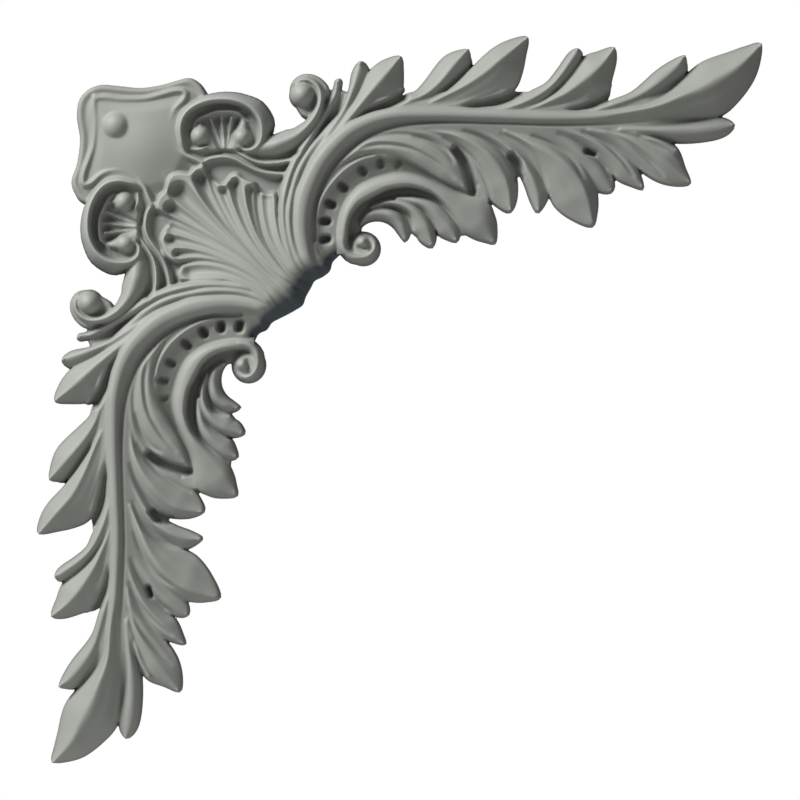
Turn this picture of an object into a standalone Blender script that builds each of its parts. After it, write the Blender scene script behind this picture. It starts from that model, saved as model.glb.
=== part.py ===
"""Panel moulding corner: a carved acanthus ornament cast in one piece, with a flat back.

The ornament hangs on a wall. X runs to the right, Z runs up and the carving faces -Y.
The origin is on the back plane, on the mitre line behind the middle of the shell.
The ornament is a height above the back plane, worked out over the plan from carved strokes.
Plan positions are drawing units, of which LEG_UNITS make one leg; on the drawing Y runs down.
Heights are shares of PROJECTION.
"""

import functools

import bmesh
import bpy
import numpy as np
from mathutils import Matrix, Vector

# Driving sizes, in metres
LEG = 0.362  # from the outer edge to the tip of an arm, the same across and down
PROJECTION = 0.026  # from the back plane to the level of the highest ridge
PITCH = 0.0007  # spacing of the points at which the height is worked out
SINK = 0.006  # how far the strokes reach behind the back plane before it is cut flat
FACETS = 10300  # triangles kept in the finished solid, about

# The drawing
LEG_UNITS = 724.0
UNIT = LEG / LEG_UNITS
ORIGIN = np.array([230.0, 230.0])  # on the mitre line, behind the middle of the shell
CORNER = np.array([34.0, 34.0])  # where the worked field starts, just outside the ornament
FIELD_UNITS = 734.0  # how far it reaches
TILES = 8  # the field is worked out in so many tiles each way
LOW = -SINK / PROJECTION
FILLET = 0.02  # height over which two strokes run into each other
WALL = 0.2  # fall of an outer edge behind the back plane, height per drawing unit
EASE = 0.14  # how far the ridge of a leaf is rounded, a share of its half-width


def through(points, gap=4.0):
    """A smooth curve through the points: Catmull-Rom spans, read at even steps of its length."""
    return curve(tuple(map(tuple, points)), gap)


@functools.cache
def curve(points, gap):
    """The curve itself, worked out once for each set of points."""
    p = np.array(points, float)
    p = np.vstack([2 * p[0] - p[1], p, 2 * p[-1] - p[-2]])
    t = np.linspace(0, 1, 12, endpoint=False)[:, None]
    spans = [
        0.5 * (2 * b + (c - a) * t + (2 * a - 5 * b + 4 * c - d) * t**2 + (3 * b - a - 3 * c + d) * t**3)
        for a, b, c, d in zip(p, p[1:], p[2:], p[3:])
    ]
    line = np.vstack([*spans, p[-2:-1]])
    length = np.r_[0, np.cumsum(np.linalg.norm(np.diff(line, axis=0), axis=1))]
    at = np.linspace(0, length[-1], max(8, int(length[-1] / gap)))
    return np.column_stack([np.interp(at, length, column) for column in line.T])


def along(values, share):
    """Values at even steps along a stroke, read at the shares 0 to 1: a list is eased, an array is not."""
    if isinstance(values, np.ndarray):
        return np.interp(share, np.linspace(0, 1, len(values)), values)
    values = np.atleast_1d(np.asarray(values, float))
    if len(values) == 1:
        return np.full(np.shape(share), values[0])
    at = np.clip(share, 0, 1) * (len(values) - 1)
    low = np.clip(np.floor(at).astype(int), 0, len(values) - 2)
    ease = at - low
    ease = 0.5 * ease + 0.5 * ease * ease * (3 - 2 * ease)
    return values[low] * (1 - ease) + values[low + 1] * ease


def nearest(points, line):
    """Of each point: its distance to the line, the share of the line there, and its signed side.

    The nearest corner of the line is found first, and then the nearer of the two legs at it."""
    leg = np.diff(line, axis=0)
    size = np.linalg.norm(leg, axis=1)
    corner = ((line**2).sum(axis=1) - 2 * points @ line.T).argmin(axis=1)
    pair = np.clip([corner - 1, corner], 0, len(leg) - 1)
    gap = points - line[pair]
    reach = np.clip((gap * leg[pair]).sum(-1) / size[pair]**2, 0, 1)
    off = gap - reach[..., None] * leg[pair]
    distance = np.hypot(off[..., 0], off[..., 1])
    choice = distance.argmin(axis=0), np.arange(len(points))
    before = np.r_[0, np.cumsum(size)]
    share = (before[pair[choice]] + reach[choice] * size[pair[choice]]) / before[-1]
    cross = leg[pair[choice]][:, 0] * off[choice][:, 1] - leg[pair[choice]][:, 1] * off[choice][:, 0]
    return distance[choice], share, np.sign(cross)


def inside(points, ring):
    """Even-odd test of the points against a closed ring."""
    after = np.roll(ring, -1, axis=0)
    x, y = points[:, :1], points[:, 1:]
    spans = (ring[:, 1] > y) != (after[:, 1] > y)
    rise = np.where(after[:, 1] == ring[:, 1], 1.0, after[:, 1] - ring[:, 1])
    crossing = ring[:, 0] + (y - ring[:, 1]) / rise * (after[:, 0] - ring[:, 0])
    return (spans & (x < crossing)).sum(axis=1) % 2 == 1


def rounded(depth, level, radius):
    """The edge of a piece: a quarter round from the back plane up to the level, and a wall behind it."""
    up = np.clip(depth / radius, 0, 1)
    return np.where(depth > 0, level * np.sqrt(up * (2 - up)), depth * WALL)


class Relief:
    """The height over a set of plan points, raised and carved by one stroke after the other."""

    def __init__(self, points):
        self.points = points
        self.low, self.high = points.min(axis=0), points.max(axis=0)
        self.height = np.full(len(points), LOW)

    def near(self, line, reach):
        """The numbers of the points that lie in the box round the line."""
        low, high = line.min(axis=0) - reach, line.max(axis=0) + reach
        if (self.low > high).any() or (self.high < low).any():
            return np.zeros(0, int)
        return np.nonzero(((self.points > low) & (self.points < high)).all(axis=1))[0]

    def raise_to(self, at, level, fillet=FILLET):
        """Joins a stroke on: the higher of the two, with a fillet where they meet."""
        old = self.height[at]
        blend = np.clip(fillet - np.abs(old - level), 0, None)
        blend = np.where(np.minimum(old, level) > 0, blend, 0)
        self.height[at] = np.maximum(old, level) + blend**2 / (4 * fillet)

    def carve_to(self, at, level, fillet=FILLET):
        """Cuts a stroke out: the lower of the two, with its edge eased."""
        old = self.height[at]
        blend = np.clip(fillet - np.abs(old - level), 0, None)
        blend = np.where(np.minimum(old, level) > 0, blend, 0)
        self.height[at] = np.minimum(old, level) - blend**2 / (4 * fillet)

    def rib(self, path, left, right, crest, rim, power=2.0, edge=2.0):
        """A rib beside a path. Its section is rim + (crest - rim)(1 - |v|^power), v from edge to edge."""
        line = through(path)
        at = self.near(line, max(np.max(left), np.max(right)) - LOW / WALL)
        if not len(at):
            return
        distance, share, side = nearest(self.points[at], line)
        width = np.where(side < 0, along(left, share), along(right, share))
        v = np.clip(distance / width, 0, 1)
        low = along(rim, share)
        level = low + (along(crest, share) - low) * (1 - v**power)
        depth = width - distance
        level = np.where(depth < edge, np.minimum(level, rounded(depth, level, edge)), level)
        self.raise_to(at, np.maximum(level, LOW))

    def leaf(self, ridge, first, second, crest, rim, power=(1.3, 1.3), edge=2.5, folds=0.0):
        """A leaf between two edges that meet at its tip, with a ridge from base to tip.

        v runs from 0 on the ridge to 1 on the edge, and the section is as that of a rib, with its own
        power on each side. folds adds shallow flutes beside the ridge."""
        spine, ring = through(ridge), through([*first, *second[-2::-1]])
        at = self.near(ring, -LOW / WALL)
        if not len(at):
            return
        points = self.points[at]
        out = nearest(points, ring)[0]
        depth = np.where(inside(points, ring), out, -out)
        distance, share, side = nearest(points, spine)
        v = distance / (distance + np.clip(depth, 0, None) + 1e-6)
        v = (np.hypot(v, EASE) - EASE) / (np.hypot(1, EASE) - EASE)
        low = along(rim, share)
        high = along(crest, share)
        bend = np.where(side < 0, power[0], power[1])
        level = low + (high - low) * (1 - v**bend)
        level = level + folds * (np.cos(v * 4 * np.pi) - 1) * np.sin(np.pi * np.clip(share, 0, 1))
        level = np.where(depth < edge, np.minimum(level, rounded(depth, level, edge)), level)
        self.raise_to(at, np.maximum(level, LOW))

    def groove(self, path, half, floor, lift=0.35, fillet=FILLET):
        """A hollow cut beside a path, round at the floor and lifting towards its edges."""
        line = through(path)
        at = self.near(line, np.max(half) + 2)
        if not len(at):
            return
        distance, share, _ = nearest(self.points[at], line)
        v = distance / along(half, share)
        self.carve_to(at, along(floor, share) + lift * v**2 + np.where(v > 1, 9.0 * (v - 1), 0), fillet)

    def score(self, path, half, depth):
        """A fine line cut beside a path: depth(1 - v^2) off what is there, fading out at both ends."""
        line = through(path)
        at = self.near(line, np.max(half))
        if not len(at):
            return
        distance, share, _ = nearest(self.points[at], line)
        v = np.clip(distance / half, 0, 1)
        cut = depth * (1 - v**2) ** 2 * np.sin(np.pi * share) ** 0.5
        self.height[at] -= np.where(self.height[at] > 2 * depth, cut, 0)

    def dome(self, centre, radius, base, top):
        """A boss: the upper part of a ball on the level base."""
        centre = np.asarray(centre, float)
        at = self.near(centre[None], radius - LOW / WALL)
        distance = np.linalg.norm(self.points[at] - centre, axis=1)
        rise = np.sqrt(np.clip(1 - (distance / radius) ** 2, 0, 1))
        level = np.where(distance < radius, base + (top - base) * rise, base - WALL * (distance - radius))
        self.raise_to(at, np.maximum(level, LOW))

    def sheet(self, ring, level, edge=2.5):
        """A flat or swept ground inside a closed ring; level is a function of points and depth."""
        loop = through(list(ring) + [ring[0]])
        at = self.near(loop, -LOW / WALL)
        if not len(at):
            return
        points = self.points[at]
        out = nearest(points, loop)[0]
        depth = np.where(inside(points, loop[:-1]), out, -out)
        top = level(points, depth)
        top = np.where(depth < edge, np.minimum(top, rounded(depth, top, edge)), top)
        self.raise_to(at, np.maximum(top, LOW))


# The stem, from the inner corner out along the arm
STEM = [(316, 276), (307, 260), (302, 240), (301, 220), (303.5, 200), (309, 185), (317, 169), (326, 156),
         (337, 144), (350, 133), (365, 125), (380, 120), (400, 116.5), (430, 116), (460, 116.5), (500, 118),
         (550, 119.5), (600, 118), (640, 111)]


def ground(relief):
    """The swept ground that carries the leaves: high beside the stem and low at its outer edge."""
    line = through(STEM)

    def level(points, depth):
        distance, share, _ = nearest(points, line)
        return along((0.66, 0.56, 0.52, 0.48, 0.42), share) - np.clip(distance - 9, 0, None) * 0.0062

    relief.sheet(
        [(324, 286), (306, 284), (297, 262), (294, 240), (292, 215), (297, 180), (315, 140), (345, 110),
         (372, 100), (404, 95), (440, 92), (480, 88), (522, 92), (560, 92), (609, 101), (640, 92), (662, 78),
         (685, 74), (712, 76), (728, 95), (705, 122), (676, 141), (640, 165), (614, 178), (596, 186),
         (560, 188), (540, 184), (521, 176), (505, 190), (484, 194), (466, 186), (440, 176), (420, 190),
         (395, 205), (360, 205), (347, 225), (345, 248), (340, 268)],
        level,
    )
    relief.sheet(
        [(350, 205), (362, 190), (380, 172), (410, 164), (440, 172), (465, 184), (482, 186), (490, 202),
         (478, 212), (455, 212), (435, 205), (410, 198), (385, 200), (365, 205)],
        lambda points, depth: np.full(len(points), 0.2),
    )


def stems(relief):
    """The stem that sweeps out of the corner and down the arm, and the ridges beside it."""
    relief.rib(
        [(309, 280), (294, 262), (287, 240), (284, 215), (287, 190), (296, 164), (311, 139), (326, 113),
         (335, 96), (338, 83)],
        (6, 6, 7, 7, 6, 4), (5, 5, 6, 6, 6, 5), (0.86, 0.8, 0.72, 0.62, 0.5, 0.3),
        (0.6, 0.6, 0.5, 0.42, 0.3, 0.14), 1.6, 3,
    )
    relief.rib(
        [(312, 280), (300, 262), (292, 240), (290, 215), (294, 190), (303, 166), (318, 144), (336, 126)],
        5, 5, (0.88, 0.82, 0.76, 0.66, 0.58, 0.5), (0.7, 0.66, 0.6, 0.52, 0.46, 0.4), 1.8,
    )
    relief.groove(
        [(315, 240), (314, 215), (318, 196), (326, 178), (338, 162), (354, 147), (372, 135.5), (391, 128.5),
         (413, 124.5), (445, 122.5), (480, 123), (520, 124.5), (560, 126), (600, 125.5), (650, 123),
         (700, 119.5), (716, 117.5)],
        (4, 4, 4, 3.2, 2.8, 2.8, 2.8, 2.6), (0.5, 0.46, 0.44, 0.42, 0.41, 0.4, 0.36, 0.3), 0.1,
    )
    relief.rib(
        STEM, (9, 10, 10, 9, 8, 8, 7, 5), (8, 11, 13, 11, 9, 7.5, 7, 7, 6.5, 6.5, 6, 5),
        (0.86, 0.78, 0.71, 0.67, 0.64, 0.61, 0.58, 0.54, 0.5),
        (0.6, 0.56, 0.52, 0.48, 0.45, 0.42, 0.38, 0.34), 2.6,
    )


# The leaves on the outer side of the arm, from the corner outwards: ridge, two edges, heights, powers
OUTER_LEAVES = (
    (
        [(318, 152), (332, 131), (344, 110), (352, 92), (357, 76), (361, 62)],
        [(306, 166), (322, 140), (340, 112), (348, 90), (351, 74), (356, 64), (362, 61)],
        [(330, 150), (345, 126), (360, 98), (370, 76), (368, 66), (362, 61)],
        (0.58, 0.56, 0.5, 0.36), (0.42, 0.4, 0.3, 0.16),
    ),
    (
        [(318, 160), (338, 134), (350, 120), (368, 98), (380, 84), (392, 70), (401, 58)],
        [(310, 166), (330, 134), (350, 105), (360, 86), (369, 71), (383, 60), (401, 56)],
        [(330, 162), (350, 138), (380, 113), (398, 102), (403, 93), (404, 72), (401, 56)],
        (0.6, 0.6, 0.6, 0.56, 0.44), (0.46, 0.44, 0.34, 0.26, 0.18), (1.1, 0.8),
    ),
    (
        [(372, 124), (395, 110), (410, 103), (425, 97), (437, 88), (446, 78), (456, 65), (468, 51)],
        [(345, 142), (375, 115), (404, 95), (415, 91), (425, 80), (440, 60), (452, 52), (468, 49)],
        [(395, 122), (425, 108), (445, 96), (460, 82), (472, 67), (471, 57), (468, 49)],
        (0.54, 0.54, 0.54, 0.5, 0.4), (0.4, 0.34, 0.26, 0.2, 0.16), (1.2, 0.8),
    ),
    (
        [(405, 112), (425, 106), (455, 93), (470, 85), (485, 75), (500, 62), (515, 50), (528, 39)],
        [(385, 122), (420, 108), (445, 92), (460, 79), (472, 67), (490, 50), (508, 40), (528, 37)],
        [(430, 122), (470, 114), (500, 104), (516, 89), (522, 76), (526, 58), (528, 37)],
        (0.54, 0.58, 0.6, 0.56, 0.44), (0.42, 0.4, 0.36, 0.26, 0.16), (1.0, 0.75),
    ),
    (
        [(480, 115), (508, 109), (528, 102), (546, 91), (560, 76), (577, 50)],
        [(470, 118), (505, 106), (530, 91), (545, 83), (556, 70), (568, 53), (577, 48)],
        [(505, 118), (535, 107), (556, 92), (572, 74), (583, 57), (581, 51), (577, 48)],
        (0.5, 0.54, 0.52, 0.39), (0.4, 0.38, 0.34, 0.22), (1.2, 1.6), 2.5, 0.012,
    ),
    (
        [(500, 115), (530, 110), (560, 98), (572, 91), (583, 83), (595, 73), (605, 62), (614, 49)],
        [(488, 119), (530, 108), (552, 93), (568, 75), (583, 57), (598, 51), (614, 47)],
        [(530, 119), (570, 112), (598, 106), (609, 98), (612, 82), (617, 60), (614, 47)],
        (0.52, 0.54, 0.56, 0.52, 0.41), (0.42, 0.38, 0.32, 0.24, 0.16), (1.1, 0.75),
    ),
    (
        [(570, 115), (600, 110), (625, 103), (645, 94), (665, 79), (676, 68), (684, 57)],
        [(555, 119), (590, 110), (611, 100), (632, 91), (655, 71), (670, 61), (684, 55)],
        [(600, 118), (635, 106), (660, 94), (676, 83), (687, 73), (687, 61), (684, 55)],
        (0.46, 0.48, 0.46, 0.36), (0.38, 0.32, 0.24, 0.16), (1.8, 1.0),
    ),
)
# The ribs at the feet of the larger outer leaves: path, two half-widths, heights, power
OUTER_RIBS = (
    (
        [(335, 143), (355, 121), (370, 111), (385, 102), (401, 90)],
        (3, 5, 4), (3, 5, 4), (0.56, 0.54, 0.5, 0.3), (0.44, 0.38, 0.3, 0.2), 1.4,
    ),
    (
        [(430, 112), (455, 106), (470, 101), (488, 94), (503, 86), (516, 76)],
        (3, 5, 4), (3, 6, 5), (0.54, 0.52, 0.46, 0.28), (0.4, 0.34, 0.26, 0.18), 1.3,
    ),
    (
        [(535, 113), (560, 108), (576, 103), (592, 95), (607, 85)],
        (3, 5, 4), (3, 5, 5), (0.5, 0.48, 0.42, 0.26), (0.4, 0.34, 0.26, 0.18), 1.3,
    ),
)


def outer_leaves(relief):
    """The leaves on the outer side of the arm, from the corner outwards."""
    for leaf in OUTER_LEAVES:
        relief.leaf(*leaf)
    for rib in OUTER_RIBS:
        relief.rib(*rib)


# The valleys under them: path, half-width, floor, lift
OUTER_VALLEYS = (
    (
        [(352, 123), (368, 113), (385, 107), (402, 98)],
        (1.5, 3, 4.5, 5.5), (0.5, 0.36, 0.24, 0.14), 0.14,
    ),
    (
        [(456, 109), (482, 106), (503, 101), (518, 93)],
        (1.5, 3.5, 5, 5.5), (0.5, 0.3, 0.2, 0.14), 0.14,
    ),
    (
        [(560, 112), (582, 109), (598, 103), (610, 96)],
        (1.5, 3, 4.5, 5.5), (0.46, 0.3, 0.2, 0.14), 0.14,
    ),
)


def outer_valleys(relief):
    """The valleys that run out between the stem and the outer leaves."""
    for groove in OUTER_VALLEYS:
        relief.groove(*groove)


def end_leaf(relief):
    """The large leaf that ends the arm."""
    relief.leaf(
        [(595, 118), (640, 111), (660, 106), (680, 98), (700, 90), (720, 79), (738, 67), (761, 45)],
        [(590, 117), (635, 108), (664, 93), (687, 73), (703, 61), (728, 52), (745, 46), (761, 43)],
        [(590, 123), (650, 123), (690, 121), (720, 117), (738, 103), (754, 81), (761, 60), (761, 43)],
        (0.54, 0.57, 0.59, 0.58, 0.5, 0.35), (0.4, 0.34, 0.25, 0.19, 0.15, 0.12), (1.1, 1.1), 2.5, 0.01,
    )


# The leaves on the inner side of the arm, from its end back to the corner
INNER_LEAVES = (
    (
        [(620, 130), (655, 131), (690, 131), (715, 129), (734, 125)],
        [(600, 128), (650, 126), (700, 120), (722, 117), (735, 125)],
        [(600, 134), (645, 139), (677, 144), (708, 142), (727, 136), (735, 125)],
        (0.46, 0.42, 0.36, 0.26), (0.3, 0.22, 0.16, 0.12), (1.6, 1.6),
    ),
    (
        [(588, 131), (620, 138), (650, 153), (670, 168), (689, 183)],
        [(585, 128), (620, 131), (650, 136), (676, 146), (686, 168), (691, 184)],
        [(578, 133), (605, 144), (625, 159), (640, 172), (658, 183), (677, 187), (691, 184)],
        (0.47, 0.46, 0.4, 0.25), (0.32, 0.26, 0.18, 0.12), (1.3, 1.1), 2.5, 0.01,
    ),
    (
        [(562, 130), (595, 143), (615, 158), (630, 173), (643, 189)],
        [(560, 128), (592, 134), (612, 144), (629, 158), (640, 172), (644, 190)],
        [(556, 133), (578, 143), (597, 157), (610, 172), (617, 181), (630, 187), (644, 190)],
        (0.47, 0.45, 0.38, 0.23), (0.32, 0.26, 0.18, 0.12), (1.3, 1.1),
    ),
    (
        [(556, 138), (578, 153), (597, 172), (611, 192)],
        [(552, 132), (580, 146), (602, 163), (615, 182), (611, 194)],
        [(548, 140), (566, 158), (582, 178), (596, 192), (611, 194)],
        (0.4, 0.37, 0.3, 0.2), (0.3, 0.24, 0.17, 0.12), (1.3, 1.1),
    ),
    (
        [(505, 133), (530, 145), (555, 158), (574, 176), (586, 198), (592, 222)],
        [(510, 130), (548, 137), (575, 153), (592, 173), (598, 193), (598, 212), (592, 228)],
        [(495, 133), (519, 148), (535, 168), (545, 188), (554, 207), (570, 220), (592, 228)],
        (0.5, 0.54, 0.53, 0.45, 0.28), (0.34, 0.28, 0.22, 0.16, 0.12), (1.0, 1.3), 2.5, 0.01,
    ),
    (
        [(478, 131), (505, 147), (524, 167), (535, 190), (538, 212)],
        [(480, 129), (512, 142), (531, 160), (543, 180), (549, 197), (538, 214)],
        [(468, 131), (497, 148), (513, 165), (523, 184), (530, 203), (538, 214)],
        (0.47, 0.44, 0.36, 0.24), (0.32, 0.24, 0.17, 0.12), (1.2, 1.0),
    ),
    (
        [(430, 133), (455, 137), (478, 148), (495, 165), (507, 188), (510, 211)],
        [(440, 128), (475, 132), (498, 145), (513, 163), (518, 182), (517, 202), (509, 214)],
        [(415, 132), (445, 139), (459, 152), (471, 173), (480, 191), (493, 205), (509, 214)],
        (0.5, 0.53, 0.51, 0.43, 0.28), (0.34, 0.3, 0.24, 0.17, 0.12), (1.2, 1.0), 2.5, 0.01,
    ),
    (
        [(335, 166), (352, 151), (375, 144), (400, 146), (425, 155), (448, 170), (466, 190)],
        [(335, 155), (360, 141), (390, 135), (420, 137), (445, 146), (458, 159), (466, 175), (469, 192)],
        [(333, 176), (347, 165), (368, 157), (385, 157), (402, 161), (420, 170), (445, 185), (468, 194)],
        (0.58, 0.59, 0.59, 0.56, 0.49, 0.37), (0.46, 0.47, 0.46, 0.43, 0.36, 0.27), (1.4, 1.8), 2.0, 0.004,
    ),
)
# The ribs on two of them
INNER_RIBS = (
    (
        [(608, 131), (635, 135), (655, 142), (674, 152)],
        (3, 5, 4), (3, 5, 5), (0.42, 0.44, 0.36), (0.34, 0.32, 0.26), 1.4,
    ),
    (
        [(345, 147), (372, 136), (400, 132), (430, 136), (452, 147)],
        (3, 4, 4), (3, 5, 5), (0.5, 0.52, 0.5, 0.42), (0.42, 0.42, 0.4, 0.36), 1.6,
    ),
)
# The gaps between them
GAPS = (
    (
        [(455, 151), (463, 161), (469, 175), (472, 192)],
        (3.5, 4.5, 5, 4.5), (0.12, 0.06, 0.04, 0.04), 0.12,
    ),
    (
        [(511, 157), (517, 166), (519, 180)],
        (3.5, 5, 5), (0.08, 0.04, 0.02), 0.12,
    ),
    (
        [(586.5, 152), (594, 155)],
        3.2, 0.03, 0.25,
    ),
    (
        [(596, 157), (605, 166), (612, 176)],
        2, (0.16, 0.24, 0.24), 0.2,
    ),
)


def inner_leaves(relief):
    """The leaves on the inner side of the arm, from its end back to the corner."""
    for leaf in INNER_LEAVES:
        relief.leaf(*leaf)
    for rib in INNER_RIBS:
        relief.rib(*rib)
    for path in PARTINGS:
        relief.score(path, 3.0, 0.085)
    for groove in GAPS:
        relief.groove(*groove)


# Fine lines between the inner leaves and down their faces, from the gap beside the first to the end
PARTINGS = (
    [(412, 138), (430, 143), (446, 153), (454, 165)],
    [(442, 138), (466, 153), (481, 172), (492, 198)],
    [(462, 132), (482, 139), (500, 151), (510, 162)],
    [(500, 134), (522, 145), (538, 163), (547, 188)],
    [(530, 137), (552, 147), (572, 162), (583, 180)],
    [(556, 134), (578, 144), (598, 160), (612, 180)],
    [(580, 133), (602, 144), (620, 160), (634, 178)],
    [(606, 132), (630, 146), (650, 163), (664, 178)],
    [(636, 136), (654, 138), (668, 141), (677, 143)],
    [(360, 150), (382, 146), (410, 150), (436, 164), (455, 180)],
)
PITS = (0.08, 0.21, 0.34, 0.49, 0.665, 0.805, 0.935)  # where the pits lie, shares of the band


def pearl_band(relief):
    """The curved band of pits between two rims, inside the sweep of the stem."""
    middle = [(328, 251), (326, 244), (325, 226), (330, 206), (343, 188), (362, 172), (384, 164), (408, 168)]
    relief.groove(
        [*middle, (430, 176)],
        (9, 9, 9.5, 9.5, 9, 8, 8), (0.5, 0.5, 0.49, 0.46, 0.42, 0.36, 0.3), 0.05,
    )
    relief.rib(
        [(333, 252), (327, 257), (320, 250), (316.5, 240), (316, 226), (320, 206), (331, 186), (348, 169),
         (368, 159), (392, 157)],
        3.5, 4, (0.5, 0.58, 0.62, 0.62, 0.6, 0.56, 0.51, 0.46), (0.45, 0.48, 0.48, 0.46, 0.44, 0.4), 1.8,
    )
    line = through(middle, 1.0)
    for share in PITS:
        number = int(share * (len(line) - 1))
        ahead = line[number + 1] - line[number - 1]
        cross = np.array([ahead[1], -ahead[0]]) / np.linalg.norm(ahead) * 2.2
        floor = 0.27 - 0.08 * share
        relief.groove([line[number] - cross, line[number], line[number] + cross], 4.3, floor, 0.14)


def inner_acanthus(relief):
    """The leaf that grows out of the small volute and hangs inside the arm."""
    relief.sheet(
        [(343, 252), (342, 236), (344, 218), (354, 200), (374, 186), (400, 180), (425, 184), (450, 196),
         (470, 212), (474, 232), (458, 236), (437, 233), (422, 232), (410, 234), (400, 230), (388, 221.5),
         (374, 219.5), (364, 224), (361, 234), (360, 246), (351, 254)],
        lambda points, depth: np.full(len(points), 0.22),
    )
    relief.leaf(
        [(398, 198), (425, 206), (440, 218), (450, 230), (456, 241)],
        [(395, 194), (420, 197), (440, 205), (455, 220), (461, 232), (457, 243)],
        [(395, 203), (418, 209), (428, 218), (435, 230), (438, 236), (446, 240.5), (457, 243)],
        (0.44, 0.47, 0.45, 0.4, 0.32), (0.36, 0.34, 0.28, 0.16), (1.6, 1.4), 2.5, 0.006,
    )
    relief.leaf(
        [(374, 208), (390, 203.5), (406, 207), (418, 216), (426, 228), (431, 244)],
        [(370, 205), (382, 200), (395, 199), (408, 202), (420, 208), (429, 217), (434, 227), (437, 238),
        (432, 249)],
        [(370, 211), (385, 208), (397, 209), (408, 215), (411, 224), (411, 233), (416, 237), (421, 244),
        (432, 249)],
        (0.4, 0.46, 0.46, 0.42, 0.33), (0.32, 0.3, 0.26, 0.16), (1.6, 1.4),
    )
    relief.leaf(
        [(362, 224), (368, 216), (378, 213), (390, 215), (399, 223), (404, 234), (405.5, 241)],
        [(359, 220), (364, 213), (371, 209), (380, 207), (390, 208), (400, 212), (407, 220), (411, 230),
         (410, 237), (405, 243)],
        [(361, 229), (366, 224.5), (373, 222), (381, 222), (388, 224.5), (394, 229.5), (399, 236.5),
        (405, 243)],
        (0.36, 0.44, 0.46, 0.4, 0.3), (0.28, 0.28, 0.24, 0.14), (1.6, 1.6),
    )
    relief.leaf(
        [(343, 254), (343, 240), (345, 227), (349, 213), (357, 202), (367, 195), (380, 189), (396, 185),
         (412, 184.5), (430, 190), (447, 200), (464, 213), (480, 227), (492, 241)],
        [(335, 256), (336, 245), (337, 230), (340, 215), (346, 200), (357, 187), (370, 180), (385, 175),
         (400, 172.5), (415, 174), (430, 179), (445, 186), (458, 192), (470, 195), (483, 198), (491, 205),
         (494, 212), (497.5, 225), (496, 244)],
        [(350, 254), (349, 240), (350, 226), (354, 215), (361, 206), (370, 200.5), (379, 196), (388, 191.5),
         (400, 189.5), (410, 189), (420, 191), (430, 195), (440, 203), (450, 216), (460, 231), (472, 239),
         (484, 243), (496, 244)],
        (0.5, 0.58, 0.61, 0.61, 0.59, 0.55, 0.5, 0.45, 0.4, 0.28),
        (0.42, 0.44, 0.46, 0.44, 0.38, 0.32, 0.28, 0.22, 0.17, 0.12), (2.0, 3.0),
    )
    relief.dome((363.5, 249), 17, 0.1, 0.5)
    relief.rib(
        [(342, 240), (343.5, 250), (349.5, 256.5), (358, 258.5), (366, 257.5), (372.5, 253), (375, 246.5),
         (372.5, 240.5), (367, 238)],
        (6, 7, 7, 6.5, 6, 5, 4, 3.5, 3), (5, 5, 5.5, 6.5, 7, 6.5, 5.5, 4, 3),
        (0.58, 0.57, 0.56, 0.56, 0.55, 0.54, 0.52, 0.46, 0.36), (0.38, 0.34, 0.28, 0.24, 0.24, 0.28), 2.0,
    )
    relief.dome((362.5, 243), 5.5, 0.42, 0.6)
    relief.groove(
        [(353.5, 252), (350.5, 243), (350, 234), (351.5, 225), (356, 215), (364, 207), (374, 201.5),
         (384, 197), (396, 193.5), (410, 193), (422, 195.5), (434, 201), (446, 210)],
        (1.5, 2.2, 2.5, 2.8, 3.2, 3.5, 3.5, 4, 4.5, 4.5, 4, 3, 2),
        (0.5, 0.42, 0.34, 0.28, 0.24, 0.2, 0.18, 0.15, 0.14, 0.16, 0.22, 0.32, 0.42), 0.15,
    )
    relief.groove(
        [(356.5, 243), (358.5, 248), (364, 249.8), (369.5, 247)],
        (1.5, 2, 2.2, 1.4), (0.5, 0.4, 0.4, 0.5), 0.08,
    )


def ball_scroll(relief):
    """The scroll beside the corner plate that curls over a ball, and the web between it and the leaves."""
    relief.sheet(
        [(318, 90), (333, 90), (347, 92), (354, 104), (345, 125), (322, 145), (306, 138), (315, 115)],
        lambda points, depth: np.full(len(points), 0.24),
    )
    relief.sheet(
        [(289, 96), (291, 84), (299, 76), (310, 74), (322, 79), (330, 90), (326, 104), (316, 120),
         (304, 119), (297, 110)],
        lambda points, depth: np.full(len(points), 0.34), 3,
    )
    relief.rib(
        [(250, 150), (265, 149), (280, 145), (296, 138), (309, 127), (318, 114), (322, 101), (320, 90),
         (312, 82.5), (302, 81), (294.5, 86)],
        (8, 12, 12, 12, 9, 7, 7, 7, 7, 6, 4), (8, 10, 12, 12, 10, 7, 5, 4, 4, 4, 3),
        (0.44, 0.52, 0.6, 0.62, 0.62, 0.6, 0.58, 0.54, 0.5, 0.44),
        (0.3, 0.32, 0.34, 0.34, 0.3, 0.28, 0.28, 0.28), 1.8, 3,
    )
    relief.dome((303, 96), 13, 0.2, 0.66)
    relief.groove(
        [(300, 83.5), (306, 83.5), (312, 87), (315.5, 93), (316, 101), (312, 108)],
        (1, 1.8, 1.8, 1.8), (0.5, 0.4, 0.38, 0.34, 0.34), 0.12, 0.012,
    )


# The four flutes of the small shell, from its rim to its foot
SMALL_FLUTES = (
    [(207, 124), (216, 138), (221.5, 151)],
    [(217.5, 121), (221, 136), (224, 151)],
    [(227, 120.5), (227.5, 137), (227, 151)],
    [(237.5, 122), (232, 138), (229.5, 151)],
)


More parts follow.
